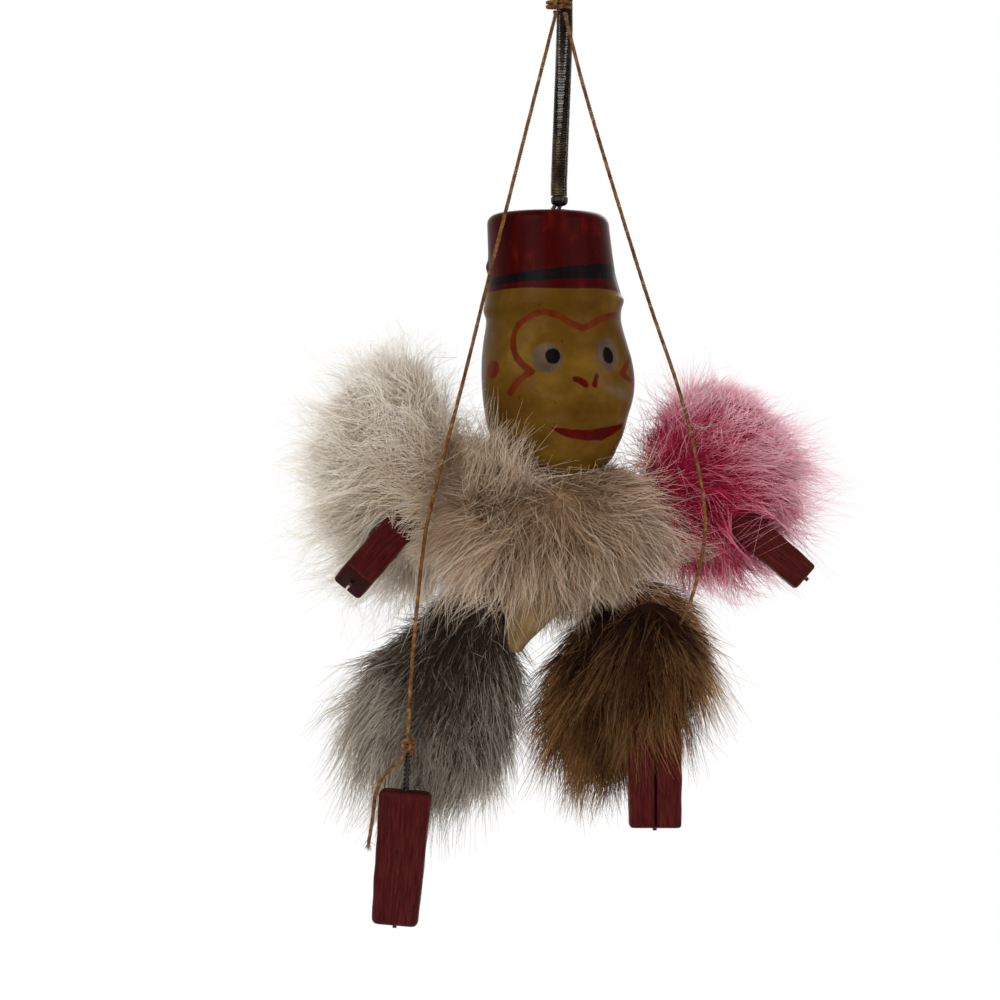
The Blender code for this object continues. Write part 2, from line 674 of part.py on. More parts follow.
def make_block(name, start, direction, size, width_hint, groove_side, parent):
    """A sawn stick of painted wood with a groove along one face that holds the limb's wire."""
    width, thickness, length = size
    frame = Matrix.Translation(start + direction.normalized() * length / 2) @ block_frame(
        direction, width_hint
    )
    shape = bmesh.new()
    bmesh.ops.create_cube(shape, size=1.0)
    bmesh.ops.scale(shape, vec=(width, thickness, length), verts=shape.verts)
    mesh = bpy.data.meshes.new(name)
    shape.to_mesh(mesh)
    shape.free()
    mesh.transform(frame)
    block = add_object(name, mesh, "red_wood", parent)
    bevel = block.modifiers.new("Worn edges", "BEVEL")
    bevel.width = BLOCK_EDGE
    bevel.segments = 2
    inner = LIMB_WIRE / 2 + SEAT_GAP
    depth = thickness / 2 + inner + 1 * MM
    shape = bmesh.new()
    bmesh.ops.create_cube(shape, size=1.0)
    bmesh.ops.scale(shape, vec=(GROOVE_WIDTH, depth, length + 4 * MM), verts=shape.verts)
    middle = groove_side * (depth / 2 - inner)
    bmesh.ops.translate(shape, vec=(0, middle, 0), verts=shape.verts)
    mesh = bpy.data.meshes.new(name + "_groove")
    shape.to_mesh(mesh)
    shape.free()
    mesh.transform(frame)
    if parent:
        mesh.transform(Matrix.Translation(-parent.location))
    groove = add_cutter(name + "_groove", mesh)
    groove.parent = parent
    cut(block, groove)
    return block


def limb_eye(pivot, normal, toward_point):
    """An eye round the pivot, open towards the limb, and the neck where the limb's wire leaves it."""
    toward = toward_point - pivot
    toward = (toward - toward.dot(normal) * normal).normalized()
    side = normal.cross(toward)
    points = arc(pivot, LIMB_EYE_RADIUS, toward, side, EYE_GAP_START, EYE_GAP_END, 14)
    points.append(pivot + toward * (LIMB_EYE_RADIUS + EYE_NECK))
    return points


def make_limb_wire(name, points, parent):
    return add_object(name, wire_mesh(name, points, LIMB_WIRE), "black_wire", parent)


def box_cutter(name, frame, size, parent=None):
    shape = bmesh.new()
    bmesh.ops.create_cube(shape, size=1.0)
    bmesh.ops.scale(shape, vec=size, verts=shape.verts)
    mesh = bpy.data.meshes.new(name)
    shape.to_mesh(mesh)
    shape.free()
    mesh.transform(frame)
    if parent:
        mesh.transform(Matrix.Translation(-parent.location))
    cutter = add_cutter(name, mesh)
    cutter.parent = parent
    return cutter


def hip_room(side, hip, outward):
    """The space beside the trunk that a leg's eye swings in."""
    inner = hip.x - outward * (LIMB_WIRE / 2 + SEAT_GAP)
    width = 2 * PIN_LENGTH
    frame = Matrix.Translation((inner + outward * width / 2, hip.y, hip.z))
    return box_cutter(side + "_hip_room", frame, (width, 2 * TORSO_HALF_DEPTH, HIP_ROOM_HEIGHT))


def stick_room(name, start, direction, size, width_hint, parent, opening=0.0):
    """The space that a stick and its clearance take out of the pelt round it, open to the front."""
    width, thickness, length = size
    frame = Matrix.Translation(start + direction.normalized() * length / 2) @ block_frame(
        direction, width_hint
    )
    frame = frame @ Matrix.Translation((0, opening / 2, 0))
    grown = tuple(side + 2 * SEAT_GAP for side in (width, thickness + opening, length))
    return box_cutter(name, frame, grown, parent)


def make_arm(side, shoulder, pelt_offset, radii, planes, hand_offset, direction, finish):
    pivot = add_pivot(side + "_shoulder", shoulder)
    start = shoulder + hand_offset
    size = (HAND_WIDTH, HAND_THICKNESS, HAND_LENGTH)
    hint = Vector((direction.z, 0, -direction.x))
    make_block(side + "_hand", start, direction, size, hint, -1, pivot)
    along = direction.normalized()
    eye = limb_eye(shoulder, Vector((0, 1, 0)), start)
    run = [start - along * WIRE_BEFORE_HAND, start + along * (HAND_LENGTH + NUB_LENGTH)]
    make_limb_wire(side + "_arm_wire", [*eye, *run], pivot)
    mesh = rounded_solid(side + "_arm_pelt", shoulder + pelt_offset, radii)
    press(mesh, shoulder + pelt_offset, planes)
    pelt = add_object(side + "_arm_pelt", mesh, finish, pivot)
    cut(pelt, wire_room(side + "_arm_wire_room", [eye[-1], *run], LIMB_WIRE, pivot))
    cut(pelt, stick_room(side + "_hand_room", start, direction, size, hint, pivot, HAND_OPENING))


def knot_mesh(name, place, along, inner_radius):
    """A thread wound twice round a wire and pulled tight."""
    frame = along.to_track_quat("Z", "Y").to_matrix().to_4x4()
    radius = inner_radius + SEAT_GAP + KNOT_THICKNESS / 2
    side, across, up = (frame.to_3x3() @ axis for axis in (Vector((1, 0, 0)), Vector((0, 1, 0)), along))
    points = arc(place, radius, side, across, 0, math.tau * 17 / 18, 17)
    mesh = wire_mesh(name, points, KNOT_THICKNESS, cyclic=True)
    tall = Matrix.Diagonal((1, 1, KNOT_TURNS, 1))
    stretch = Matrix.Translation(place) @ frame @ tall @ frame.inverted()
    mesh.transform(stretch @ Matrix.Translation(-place))
    shade(mesh, 70)
    return mesh


def make_leg(side, hip, knot, foot_offset, foot_direction, shape, groove_side, finish):
    length, half_width, lean, inner_lean = shape
    foot_top = hip + foot_offset
    pivot = add_pivot(side + "_hip", hip)
    size = (FOOT_WIDTH, FOOT_THICKNESS, FOOT_LENGTH)
    hint = Vector((1, 0, 0))
    make_block(side + "_foot", foot_top, foot_direction, size, hint, groove_side, pivot)
    eye = limb_eye(hip, Vector((1, 0, 0)), knot)
    along = foot_direction.normalized()
    run = [knot, foot_top - along * WIRE_BEFORE_FOOT, foot_top + along * (FOOT_LENGTH + NUB_LENGTH)]
    make_limb_wire(side + "_leg_wire", [*eye, *run], pivot)
    tie = knot_mesh(side + "_foot_knot", knot, (foot_top - knot).normalized(), LIMB_WIRE / 2)
    add_object(side + "_foot_knot", tie, "thread", pivot)
    down = Vector((-math.sin(lean), 0, -math.cos(lean)))
    centre = Vector((hip.x, LEG_PELT_Y, hip.z)) + down * (LEG_PELT_BELOW_PIVOT + length / 2)
    radii = Vector((half_width, LEG_PELT_HALF_DEPTH, length / 2))
    mesh = rounded_solid(side + "_leg_pelt", centre, radii, taper=0.4, lean=lean)
    to_trunk = math.copysign(math.cos(inner_lean), SPINE_X - hip.x)
    inward = Vector((to_trunk, 0, math.sin(inner_lean)))
    press(mesh, centre, [(hip + inward * LEG_BESIDE_TRUNK, inward)])
    pelt = add_object(side + "_leg_pelt", mesh, finish, pivot)
    cut(pelt, wire_room(side + "_leg_wire_room", [eye[-1], *run], LIMB_WIRE, pivot))
    cut(pelt, stick_room(side + "_foot_room", foot_top, foot_direction, size, hint, pivot))
    behind = LIMB_WIRE / 2 + KNOT_THICKNESS + 2 * SEAT_GAP
    notch = Matrix.Translation(knot + Vector((0, behind - KNOT_NOTCH_DEPTH / 2, 0)))
    notch_size = (2 * KNOT_NOTCH_RADIUS, KNOT_NOTCH_DEPTH, 2 * KNOT_NOTCH_RADIUS)
    cut(pelt, box_cutter(side + "_knot_notch", notch, notch_size, pivot))


def string_end(knot):
    """Where a string meets its foot's knot, just in front of it."""
    reach = LIMB_WIRE / 2 + SEAT_GAP + KNOT_THICKNESS + SEAT_GAP + STRING_DIAMETER / 2
    return knot + Vector((0, -reach, STRING_ABOVE_KNOT))


def make_string(name, corners, knot):
    route = [Vector(corner) * MM for corner in corners]
    route.append(string_end(knot))
    pivot = add_pivot(name + "_pivot", route[0])
    points = smooth_route(route, STRING_STEP)
    add_object(name, wire_mesh(name, points, STRING_DIAMETER), "thread", pivot)


def make_strings():
    top = Vector((0, 0, SPRING_TOP - TOP_KNOT_BELOW_SPRING_TOP))
    inner = SPRING_DIAMETER / 2
    add_object("string_top_knot", knot_mesh("string_top_knot", top, Vector((0, 0, 1)), inner), "thread")
    make_string("left_string", LEFT_STRING_ROUTE, LEFT_KNOT)
    make_string("right_string", RIGHT_STRING_ROUTE, RIGHT_KNOT)
    tail = smooth_route([Vector(corner) * MM for corner in TAIL_ROUTE], STRING_STEP)
    leg = bpy.data.objects["left_hip"]
    add_object("string_tail", wire_mesh("string_tail", tail, STRING_DIAMETER), "thread", leg)


clear_scene()
parts = make_collection("toy monkey")
cutters = make_collection("cutters")

figure = add_pivot("figure", Vector((SPINE_X, 0, SPRING_END_TOP)))
swivel = add_pivot("head_swivel", Vector((SPINE_X, 0, HEAD_TOP)))
make_hook()
make_spring()
end = make_spring_end(figure)
make_spine(figure)
make_head(swivel)
stop = make_head_stop(figure)
plug = make_neck_plug(figure)
make_links(figure)
torso = make_torso(figure)
bore = spine_room()
for piece in (stop, plug, torso):
    cut(piece, bore)
cut(end, arch_room())
cut(torso, bar_room("shoulder_bar_room", *shoulder_bar()))
cut(torso, bar_room("hip_bar_room", LEFT_HIP, RIGHT_HIP))
cut(torso, hip_room("left", LEFT_HIP, -1))
cut(torso, hip_room("right", RIGHT_HIP, 1))
make_arm(
    "left",
    LEFT_SHOULDER,
    LEFT_PELT_FROM_SHOULDER,
    LEFT_ARM_RADII,
    arm_planes(LEFT_SHOULDER, -1, LEFT_ARM_LOWERED, LEFT_ARM_BESIDE_HEAD),
    LEFT_HAND_FROM_SHOULDER,
    LEFT_HAND_DIRECTION,
    "white_fur",
)
make_arm(
    "right",
    RIGHT_SHOULDER,
    RIGHT_PELT_FROM_SHOULDER,
    RIGHT_ARM_RADII,
    arm_planes(RIGHT_SHOULDER, 1, RIGHT_ARM_LOWERED, RIGHT_ARM_BESIDE_HEAD),
    RIGHT_HAND_FROM_SHOULDER,
    RIGHT_HAND_DIRECTION,
    "pink_fur",
)
make_leg(
    "left",
    LEFT_HIP,
    LEFT_KNOT,
    LEFT_FOOT_FROM_HIP,
    LEFT_FOOT_DIRECTION,
    (LEFT_LEG_PELT_LENGTH, LEFT_LEG_PELT_HALF_WIDTH, LEFT_LEG_PELT_LEAN, LEFT_LEG_INNER_LEAN),
    1,
    "grey_fur",
)
make_leg(
    "right",
    RIGHT_HIP,
    RIGHT_KNOT,
    RIGHT_FOOT_FROM_HIP,
    RIGHT_FOOT_DIRECTION,
    (RIGHT_LEG_PELT_LENGTH, RIGHT_LEG_PELT_HALF_WIDTH, -RIGHT_LEG_PELT_LEAN, RIGHT_LEG_INNER_LEAN),
    -1,
    "brown_fur",
)
make_strings()
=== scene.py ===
import math

import bmesh
import bpy
import numpy as np
from mathutils import Matrix, Vector


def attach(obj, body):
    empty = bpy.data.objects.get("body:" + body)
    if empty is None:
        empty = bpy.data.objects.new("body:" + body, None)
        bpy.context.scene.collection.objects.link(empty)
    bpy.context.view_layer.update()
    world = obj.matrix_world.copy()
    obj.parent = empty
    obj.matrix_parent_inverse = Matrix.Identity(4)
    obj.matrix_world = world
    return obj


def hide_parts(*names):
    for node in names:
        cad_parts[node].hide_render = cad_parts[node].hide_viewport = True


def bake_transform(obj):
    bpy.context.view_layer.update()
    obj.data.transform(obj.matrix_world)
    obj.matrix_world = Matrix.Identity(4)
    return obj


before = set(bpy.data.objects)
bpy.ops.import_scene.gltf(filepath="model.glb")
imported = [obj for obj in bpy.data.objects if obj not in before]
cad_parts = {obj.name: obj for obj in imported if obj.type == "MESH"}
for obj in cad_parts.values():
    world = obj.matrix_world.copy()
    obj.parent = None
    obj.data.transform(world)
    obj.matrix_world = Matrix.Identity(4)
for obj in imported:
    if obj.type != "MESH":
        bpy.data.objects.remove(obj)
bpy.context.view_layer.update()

mm = 0.001
pixel = 0.19 * mm  # one pixel of the photograph, at the plane through the limbs


# Colour as seen on a screen, 0 to 255, to Blender's linear colour.
def srgb(red, green, blue):
    linear = []
    for value in (red, green, blue):
        value = value / 255
        linear.append(value / 12.92 if value <= 0.04045 else ((value + 0.055) / 1.055) ** 2.4)
    return (*linear, 1.0)


# A node's output that can be added and multiplied, so that a tree reads as a formula.
class Flow:
    def __init__(self, tree, socket):
        self.tree, self.socket = tree, socket

    def math(self, operation, other=0.0, clamp=False):
        return out(self.tree, "ShaderNodeMath", {0: self, 1: other}, operation=operation, use_clamp=clamp)

    def vector(self, operation, other=(0, 0, 0), output=0):
        return out(self.tree, "ShaderNodeVectorMath", {0: self, 1: other}, output, operation=operation)

    def join(self, operation, first, second):
        if operation == "MULTIPLY" and isVector(first) and not isVector(second):
            inputs = {0: first, "Scale": second}
            return out(self.tree, "ShaderNodeVectorMath", inputs, operation="SCALE")
        kind = "ShaderNodeVectorMath" if isVector(first) or isVector(second) else "ShaderNodeMath"
        return out(self.tree, kind, {0: first, 1: second}, operation=operation)

    def __add__(self, other):
        return self.join("ADD", self, other)

    def __radd__(self, other):
        return self.join("ADD", other, self)

    def __sub__(self, other):
        return self.join("SUBTRACT", self, other)

    def __mul__(self, other):
        return self.join("MULTIPLY", self, other)

    def __truediv__(self, other):
        return self.join("DIVIDE", self, other)

    def dot(self, other):
        return self.vector("DOT_PRODUCT", other, "Value")

    def length(self):
        return self.vector("LENGTH", output="Value")

    def unit(self):
        return self.vector("NORMALIZE")

    # From one range of values to another.
    def span(self, low, high, atLow, atHigh):
        return out(self.tree, "ShaderNodeMapRange", {0: self, 1: low, 2: high, 3: atLow, 4: atHigh})


def isVector(value):
    return isinstance(value, tuple) or isinstance(value, Flow) and value.socket.type in ("VECTOR", "RGBA")


# Adds a node. An input's value is a number, a flow, a socket, or a node whose first output is used.
def put(tree, kind, inputs=None, **settings):
    node = tree.nodes.new(kind)
    for key, value in settings.items():
        setattr(node, key, value)
    for key, value in (inputs or {}).items():
        if isinstance(value, bpy.types.Node):
            value = value.outputs[0]
        value = value.socket if isinstance(value, Flow) else value
        if isinstance(value, bpy.types.NodeSocket):
            tree.links.new(value, node.inputs[key])
        else:
            node.inputs[key].default_value = value
    return node


def out(tree, kind, inputs=None, output=0, **settings):
    return Flow(tree, put(tree, kind, inputs, **settings).outputs[output])


def newMaterial(name, roughness, metallic=0.0, **sockets):
    material = bpy.data.materials.new(name)
    material.use_nodes = True
    shader = material.node_tree.nodes["Principled BSDF"]
    shader.inputs["Roughness"].default_value = roughness
    shader.inputs["Metallic"].default_value = metallic
    for label, value in sockets.items():
        shader.inputs[label.replace("_", " ")].default_value = value
    return material, material.node_tree


# Gives a material its colour, and bumps of a height if it has one.
def coated(material, colour, height=None, distance=0.0, strength=1.0):
    tree = material.node_tree
    shader = tree.nodes["Principled BSDF"]
    tree.links.new(colour.socket, shader.inputs["Base Color"])
    if height is not None:
        node = put(tree, "ShaderNodeBump", {"Height": height, "Distance": distance, "Strength": strength})
        tree.links.new(node.outputs["Normal"], shader.inputs["Normal"])
    return material


# Noise on the piece's own coordinates, in features per metre.
def noise(tree, scale, detail=3.0, stretch=(1, 1, 1)):
    place = out(tree, "ShaderNodeTexCoord", output="Object")
    spread = put(tree, "ShaderNodeMapping", {"Vector": place, "Scale": stretch})
    inputs = {"Vector": spread, "Scale": scale, "Detail": detail, "Roughness": 0.55}
    return out(tree, "ShaderNodeTexNoise", inputs, "Fac")


def stored(tree, name, output="Fac"):
    return out(tree, "ShaderNodeAttribute", output=output, attribute_name=name)


# A colour ramp: each stop is a position and a screen colour.
def ramp(tree, factor, *stops):
    node = put(tree, "ShaderNodeValToRGB", {"Fac": factor})
    elements = node.color_ramp.elements
    while len(elements) < len(stops):
        elements.new(0.5)
    for element, (position, *colour) in zip(elements, stops):
        element.position = position
        element.color = srgb(*colour)
    return Flow(tree, node.outputs["Color"])


def mixColour(tree, factor, first, second):
    first, second = [srgb(*colour) if isinstance(colour, tuple) else colour for colour in (first, second)]
    return out(tree, "ShaderNodeMix", {0: factor, 6: first, 7: second}, 2, data_type="RGBA")


def link(name, data):
    piece = bpy.data.objects.new(name, data)
    bpy.context.scene.collection.objects.link(piece)
    return piece


def addPiece(name, mesh, material, body, slot, *replaced):
    piece = link(name, mesh)
    if material:
        mesh.materials.clear()
        mesh.materials.append(material)
    if body:
        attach(piece, body)
    if replaced:
        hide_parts(*replaced)
    return piece


# Gives nodes of the frame a material.
def dress(material, *nodes):
    for node in nodes:
        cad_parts[node].data.materials.clear()
        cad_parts[node].data.materials.append(material)


def meshFrom(name, verts, faces):
    mesh = bpy.data.meshes.new(name)
    mesh.from_pydata([tuple(v) for v in verts], [], [tuple(f) for f in faces])
    mesh.update()
    return mesh


def storeNumbers(mesh, name, values, kind="FLOAT"):
    attribute = mesh.attributes.new(name, kind, "POINT")
    key = "vector" if kind == "FLOAT_VECTOR" else "value"
    attribute.data.foreach_set(key, np.asarray(values, np.float32).ravel())


# A poly curve through points, for a tree to work on.
def pointsObject(name, points):
    curve = bpy.data.curves.new(name, "CURVE")
    curve.dimensions = "3D"
    spline = curve.splines.new("POLY")
    spline.points.add(len(points) - 1)
    for target, place in zip(spline.points, points):
        target.co = (*place, 1.0)
    return link(name, curve)


# Points about one step apart on a smooth curve through the corners, in millimetres.
def smoothPath(corners, step):
    places = [Vector(corner) for corner in corners]
    padded = [2 * places[0] - places[1], *places, 2 * places[-1] - places[-2]]
    path = [places[0]]
    for before, start, end, after in zip(padded, padded[1:], padded[2:], padded[3:]):
        count = max(1, round((end - start).length / step))
        for index in range(1, count + 1):
            t = index / count
            linear = 2 * start + (end - before) * t
            square = (2 * before - 5 * start + 4 * end - after) * t**2
            cubic = (3 * start - before - 3 * end + after) * t**3
            path.append(0.5 * (linear + square + cubic))
    return [place * mm for place in path]


def pathLength(points):
    return sum((b - a).length for a, b in zip(points, points[1:]))


socketKinds = {float: "Float", int: "Int", tuple: "Vector", type(None): "Material"}


# A Geometry Nodes tree with named inputs, each of its value's kind.
def newTree(name, inputs):
    tree = bpy.data.node_groups.new(name, "GeometryNodeTree")
    tree.interface.new_socket("Geometry", in_out="INPUT", socket_type="NodeSocketGeometry")
    for label, value in inputs.items():
        kind = "NodeSocket" + socketKinds[type(value)]
        socket = tree.interface.new_socket(label, in_out="INPUT", socket_type=kind)
        if value is not None:
            socket.default_value = value
    tree.interface.new_socket("Geometry", in_out="OUTPUT", socket_type="NodeSocketGeometry")
    return tree, {given.name: Flow(tree, given) for given in put(tree, "NodeGroupInput").outputs}


# A tube round a curve.
def tube(tree, curve, radius, sides, **more):
    profile = put(tree, "GeometryNodeCurvePrimitiveCircle", {"Resolution": sides, "Radius": radius})
    inputs = {"Curve": curve, "Profile Curve": profile, "Fill Caps": True, **more}
    return put(tree, "GeometryNodeCurveToMesh", inputs)


# Every tree ends in plain geometry with its material.
def endTree(tree, geometry, material, smooth=True):
    if smooth:
        geometry = put(tree, "GeometryNodeSetShadeSmooth", {"Geometry": geometry, "Shade Smooth": True})
    plain = put(tree, "GeometryNodeRealizeInstances", {"Geometry": geometry})
    painted = put(tree, "GeometryNodeSetMaterial", {"Geometry": plain, "Material": material})
    put(tree, "NodeGroupOutput", {0: painted})
    return tree


# Runs a tree on an object, and returns the result as a plain mesh.
def bake(source, tree, values, name):
    modifier = source.modifiers.new(tree.name, "NODES")
    modifier.node_group = tree
    for item in tree.interface.items_tree:
        if item.item_type == "SOCKET" and item.in_out == "INPUT" and item.name in values:
            modifier[item.identifier] = values[item.name]
    source.update_tag()
    bpy.context.view_layer.update()
    depsgraph = bpy.context.evaluated_depsgraph_get()
    mesh = bpy.data.meshes.new_from_object(source.evaluated_get(depsgraph), depsgraph=depsgraph)
    mesh.name = name
    source.modifiers.remove(modifier)
    bpy.data.objects.remove(source, do_unlink=True)
    return mesh


print("Camera")
view = {
    "aim": (-11.4 * mm, -5 * mm, -102.6 * mm),  # the photograph's middle
    "distance": 0.50,
    "fieldWidth": 0.190,  # seen at the aim
}


def makeCamera():
    lens = bpy.data.cameras.new("camera")
    lens.sensor_width = 36
    lens.lens = lens.sensor_width * view["distance"] / view["fieldWidth"]
    lens.clip_start = 0.01
    lens.clip_end = 20
    camera = link("camera", lens)
    x, y, z = view["aim"]
    camera.location = (x, y - view["distance"], z)
    camera.rotation_euler = (math.radians(90), 0, 0)
    bpy.context.scene.camera = camera


makeCamera()


print("Strings")
strings = {
    "diameter": 0.8 * mm,
    "plies": 3,
    "turnLength": 1.5 * mm,
    "fuzz": 0.05 * mm,
    "leftPath": [
        (-0.7, -2.9, -9.6), (-5.3, -6.0, -28.0), (-10.1, -9.9, -47.4), (-14.2, -10.4, -63.6),
        (-18.0, -10.4, -79.0), (-24.3, -10.3, -103.5), (-25.9, -10.3, -112.5), (-27.4, -10.6, -127.0),
        (-28.3, -11.0, -139.0), (-28.7, -12.5, -148.0),
    ],
    "rightPath": [
        (0.9, -2.9, -9.6), (5.6, -4.0, -27.8), (15.8, -6.6, -61.9), (22.0, -8.4, -80.7),
        (25.4, -9.6, -94.0), (27.2, -10.3, -107.7), (24.6, -10.6, -121.0), (20.3, -10.8, -129.5),
        (17.7, -12.5, -134.3),
    ],
    "tailPath": [
        (-28.9, -11.2, -149.4), (-30.2, -11.7, -151.4), (-33.2, -12.0, -154.3), (-34.7, -12.2, -157.7),
        (-35.3, -12.3, -162.4), (-36.0, -12.2, -166.8),
    ],
}


# Threads twisted round a path: each ply is a copy of the path, wound about it and given its thickness.
def twistTree(material):
    tree, given = newTree(
        "twisted thread",
        {
            "Ply Radius": 0.2 * mm,
            "Offset": 0.2 * mm,
            "Turn Length": 1.5 * mm,
            "Plies": 3,
            "Points per Metre": 4000.0,
            "Sides": 5,
            "Fuzz": 0.05 * mm,
        },
    )
    length = out(tree, "GeometryNodeCurveLength", {0: given["Geometry"]})
    count = put(tree, "FunctionNodeFloatToInt", {0: length * given["Points per Metre"]})
    fine = put(tree, "GeometryNodeResampleCurve", {"Curve": given["Geometry"], "Count": count})
    inputs = {"Geometry": fine, "Amount": given["Plies"]}
    plies = put(tree, "GeometryNodeDuplicateElements", inputs, domain="SPLINE")
    turns = out(tree, "GeometryNodeSplineParameter", output="Length") / given["Turn Length"]
    share = Flow(tree, plies.outputs["Duplicate Index"]) / given["Plies"]
    angle = (turns + share) * math.tau
    normal = out(tree, "GeometryNodeInputNormal")
    across = out(tree, "GeometryNodeInputTangent").vector("CROSS_PRODUCT", normal)
    wound = normal * angle.math("COSINE") + across * angle.math("SINE")
    place = put(tree, "GeometryNodeInputPosition")
    inputs = {"Vector": place, "Scale": 1500.0, "Detail": 1.0}
    uneven = out(tree, "ShaderNodeTexNoise", inputs, "Color") - (0.5, 0.5, 0.5)
    offset = wound * given["Offset"] + uneven * given["Fuzz"]
    inputs = {"Geometry": plies.outputs["Geometry"], "Offset": offset}
    moved = put(tree, "GeometryNodeSetPosition", inputs)
    return endTree(tree, tube(tree, moved, given["Ply Radius"], given["Sides"]), material)


def threadMaterial():
    material, tree = newMaterial("dyed thread", 0.8, Specular_IOR_Level=0.08)
    shade = noise(tree, 900.0, 3.0)
    colour = ramp(tree, shade, (0.3, 66, 40, 22), (0.55, 108, 73, 42), (0.8, 164, 124, 80))
    return coated(material, colour, noise(tree, 9000.0, 2.0, (1, 1, 0.2)), 0.05 * mm, 0.6)


thread = threadMaterial()
threadTwist = twistTree(thread)


def twistedThread(name, path):
    ply = strings["diameter"] / 4
    values = {
        "Ply Radius": ply * 1.02,
        "Offset": ply * 0.98,
        "Turn Length": strings["turnLength"],
        "Plies": strings["plies"],
        "Fuzz": strings["fuzz"],
    }
    return bake(pointsObject(name + "Path", path), threadTwist, values, name)


# The loose hairs at the tail's end, in millimetres.
fray = {"strands": 26, "spread": 0.34, "root": 0.16, "length": (0.7, 1.9), "width": 0.06, "seed": 5}


# The tail's end comes undone: a few loose hairs spread from the last twist.
def frayedEnd(name, start, along):
    rng = np.random.default_rng(fray["seed"])
    verts, faces = [], []
    for strand in range(fray["strands"]):
        lean = Vector(rng.normal(0, fray["spread"], 3))
        direction = (along + lean).normalized()
        length = rng.uniform(*fray["length"]) * mm
        root = start + Vector(rng.normal(0, fray["root"], 3)) * mm
        side = direction.orthogonal().normalized() * fray["width"] * mm
        third = direction.cross(side)
        first = len(verts)
        for step, width in ((0.0, 1.0), (0.5, 0.8), (1.0, 0.25)):
            centre = root + direction * length * step + Vector((0, 0, -0.3 * mm * step * step))
            for turn in range(3):
                angle = math.tau * turn / 3
                verts.append(centre + (side * math.cos(angle) + third * math.sin(angle)) * width)
        for ring in range(2):
            for turn in range(3):
                a, b = first + ring * 3 + turn, first + ring * 3 + (turn + 1) % 3
                faces.append((a, b, b + 3, a + 3))
        faces.append((first + 2, first + 1, first))
        faces.append((first + 6, first + 7, first + 8))
    return meshFrom(name, verts, faces)


def makeStrings():
    tail = smoothPath(strings["tailPath"], 0.6)
    mesh = twistedThread("leftStringTail", tail)
    tailPiece = addPiece("leftStringTail", mesh, thread, "left_leg", "thread", "string_tail")
    along = (tail[-1] - tail[-2]).normalized()
    mesh = frayedEnd("tailFray", tail[-1] - along * 0.3 * mm, along)
    frayPiece = addPiece("tailFray", mesh, thread, "left_leg", "thread")
    for side in ("left", "right"):
        path = smoothPath(strings[side + "Path"], 0.8)
        name = side + "String"
        mesh = twistedThread(name, path)
        piece = addPiece(name, mesh, thread, side + "_string", "thread", side + "_string")
        pathLength(path)


makeStrings()


print("Spring and wires")
spring = {
    "wire": 0.27 * mm,
    "meanRadius": 1.5 * mm,
    "top": -5.6 * mm,
    "bottom": -44.25 * mm,
    "turns": 128,
    "pointsPerTurn": 14,
    # height and sideways place of its middle, in millimetres
    "sway": [(-44.3, -0.1), (-42, -0.1), (-34, 0.2), (-20, 0.75), (-12, 1), (-8, 1), (-5.6, 0.1)],
    "looseTurns": 17,  # the strained coils below the hook, spaced wider than the rest
    "looseness": 1.35,
    "strain": 0.6,
}


# A coil of wire round the path it is given; Strain opens the first coils.
def coilTree(material):
    tree, given = newTree(
        "coil",
        {"Turns": 100.0, "Points per Turn": 14, "Mean Radius": 1.5 * mm, "Wire": 0.3 * mm, "Strain": 0.5},
    )
    count = put(tree, "FunctionNodeFloatToInt", {0: given["Turns"] * given["Points per Turn"]})
    fine = put(tree, "GeometryNodeResampleCurve", {"Curve": given["Geometry"], "Count": count})
    along = out(tree, "GeometryNodeSplineParameter", output="Factor")
    angle = along * given["Turns"] * math.tau
    place = put(tree, "GeometryNodeInputPosition")
    uneven = out(tree, "ShaderNodeTexNoise", {"Vector": place, "Scale": 260.0, "Detail": 1.0}, "Fac")
    wobble = (uneven - 0.5) * along.span(0.0, 0.16, 1.0, 0.0)
    radius = given["Mean Radius"] * (1.0 + wobble * 0.5)
    turned = {
        "X": angle.math("COSINE") * radius,
        "Y": angle.math("SINE") * radius,
        "Z": wobble * given["Strain"] * given["Mean Radius"],
    }
    inputs = {"Geometry": fine, "Offset": put(tree, "ShaderNodeCombineXYZ", turned)}
    moved = put(tree, "GeometryNodeSetPosition", inputs)
    return endTree(tree, tube(tree, moved, given["Wire"] * 0.5, 6), material)


def springMaterial():
    material, tree = newMaterial("old spring steel", 0.32, 0.9)
    patches = noise(tree, 160.0, 3.0, (1, 1, 0.6))
    stops = [(0.35, 20, 13, 7), (0.5, 44, 32, 20), (0.62, 98, 80, 58), (0.75, 34, 22, 13)]
    return coated(material, ramp(tree, patches, *stops))


def blackWireMaterial():
    material, tree = newMaterial("black lacquered wire", 0.28, 0.0, Specular_IOR_Level=0.25)
    chips = noise(tree, 1400.0, 3.0)
    colour = ramp(tree, chips, (0.45, 14, 11, 10), (0.66, 34, 24, 20), (0.75, 96, 70, 52))
    return coated(material, colour, noise(tree, 2500.0, 2.0), 0.03 * mm, 0.4)


springSteel = springMaterial()
blackWire = blackWireMaterial()


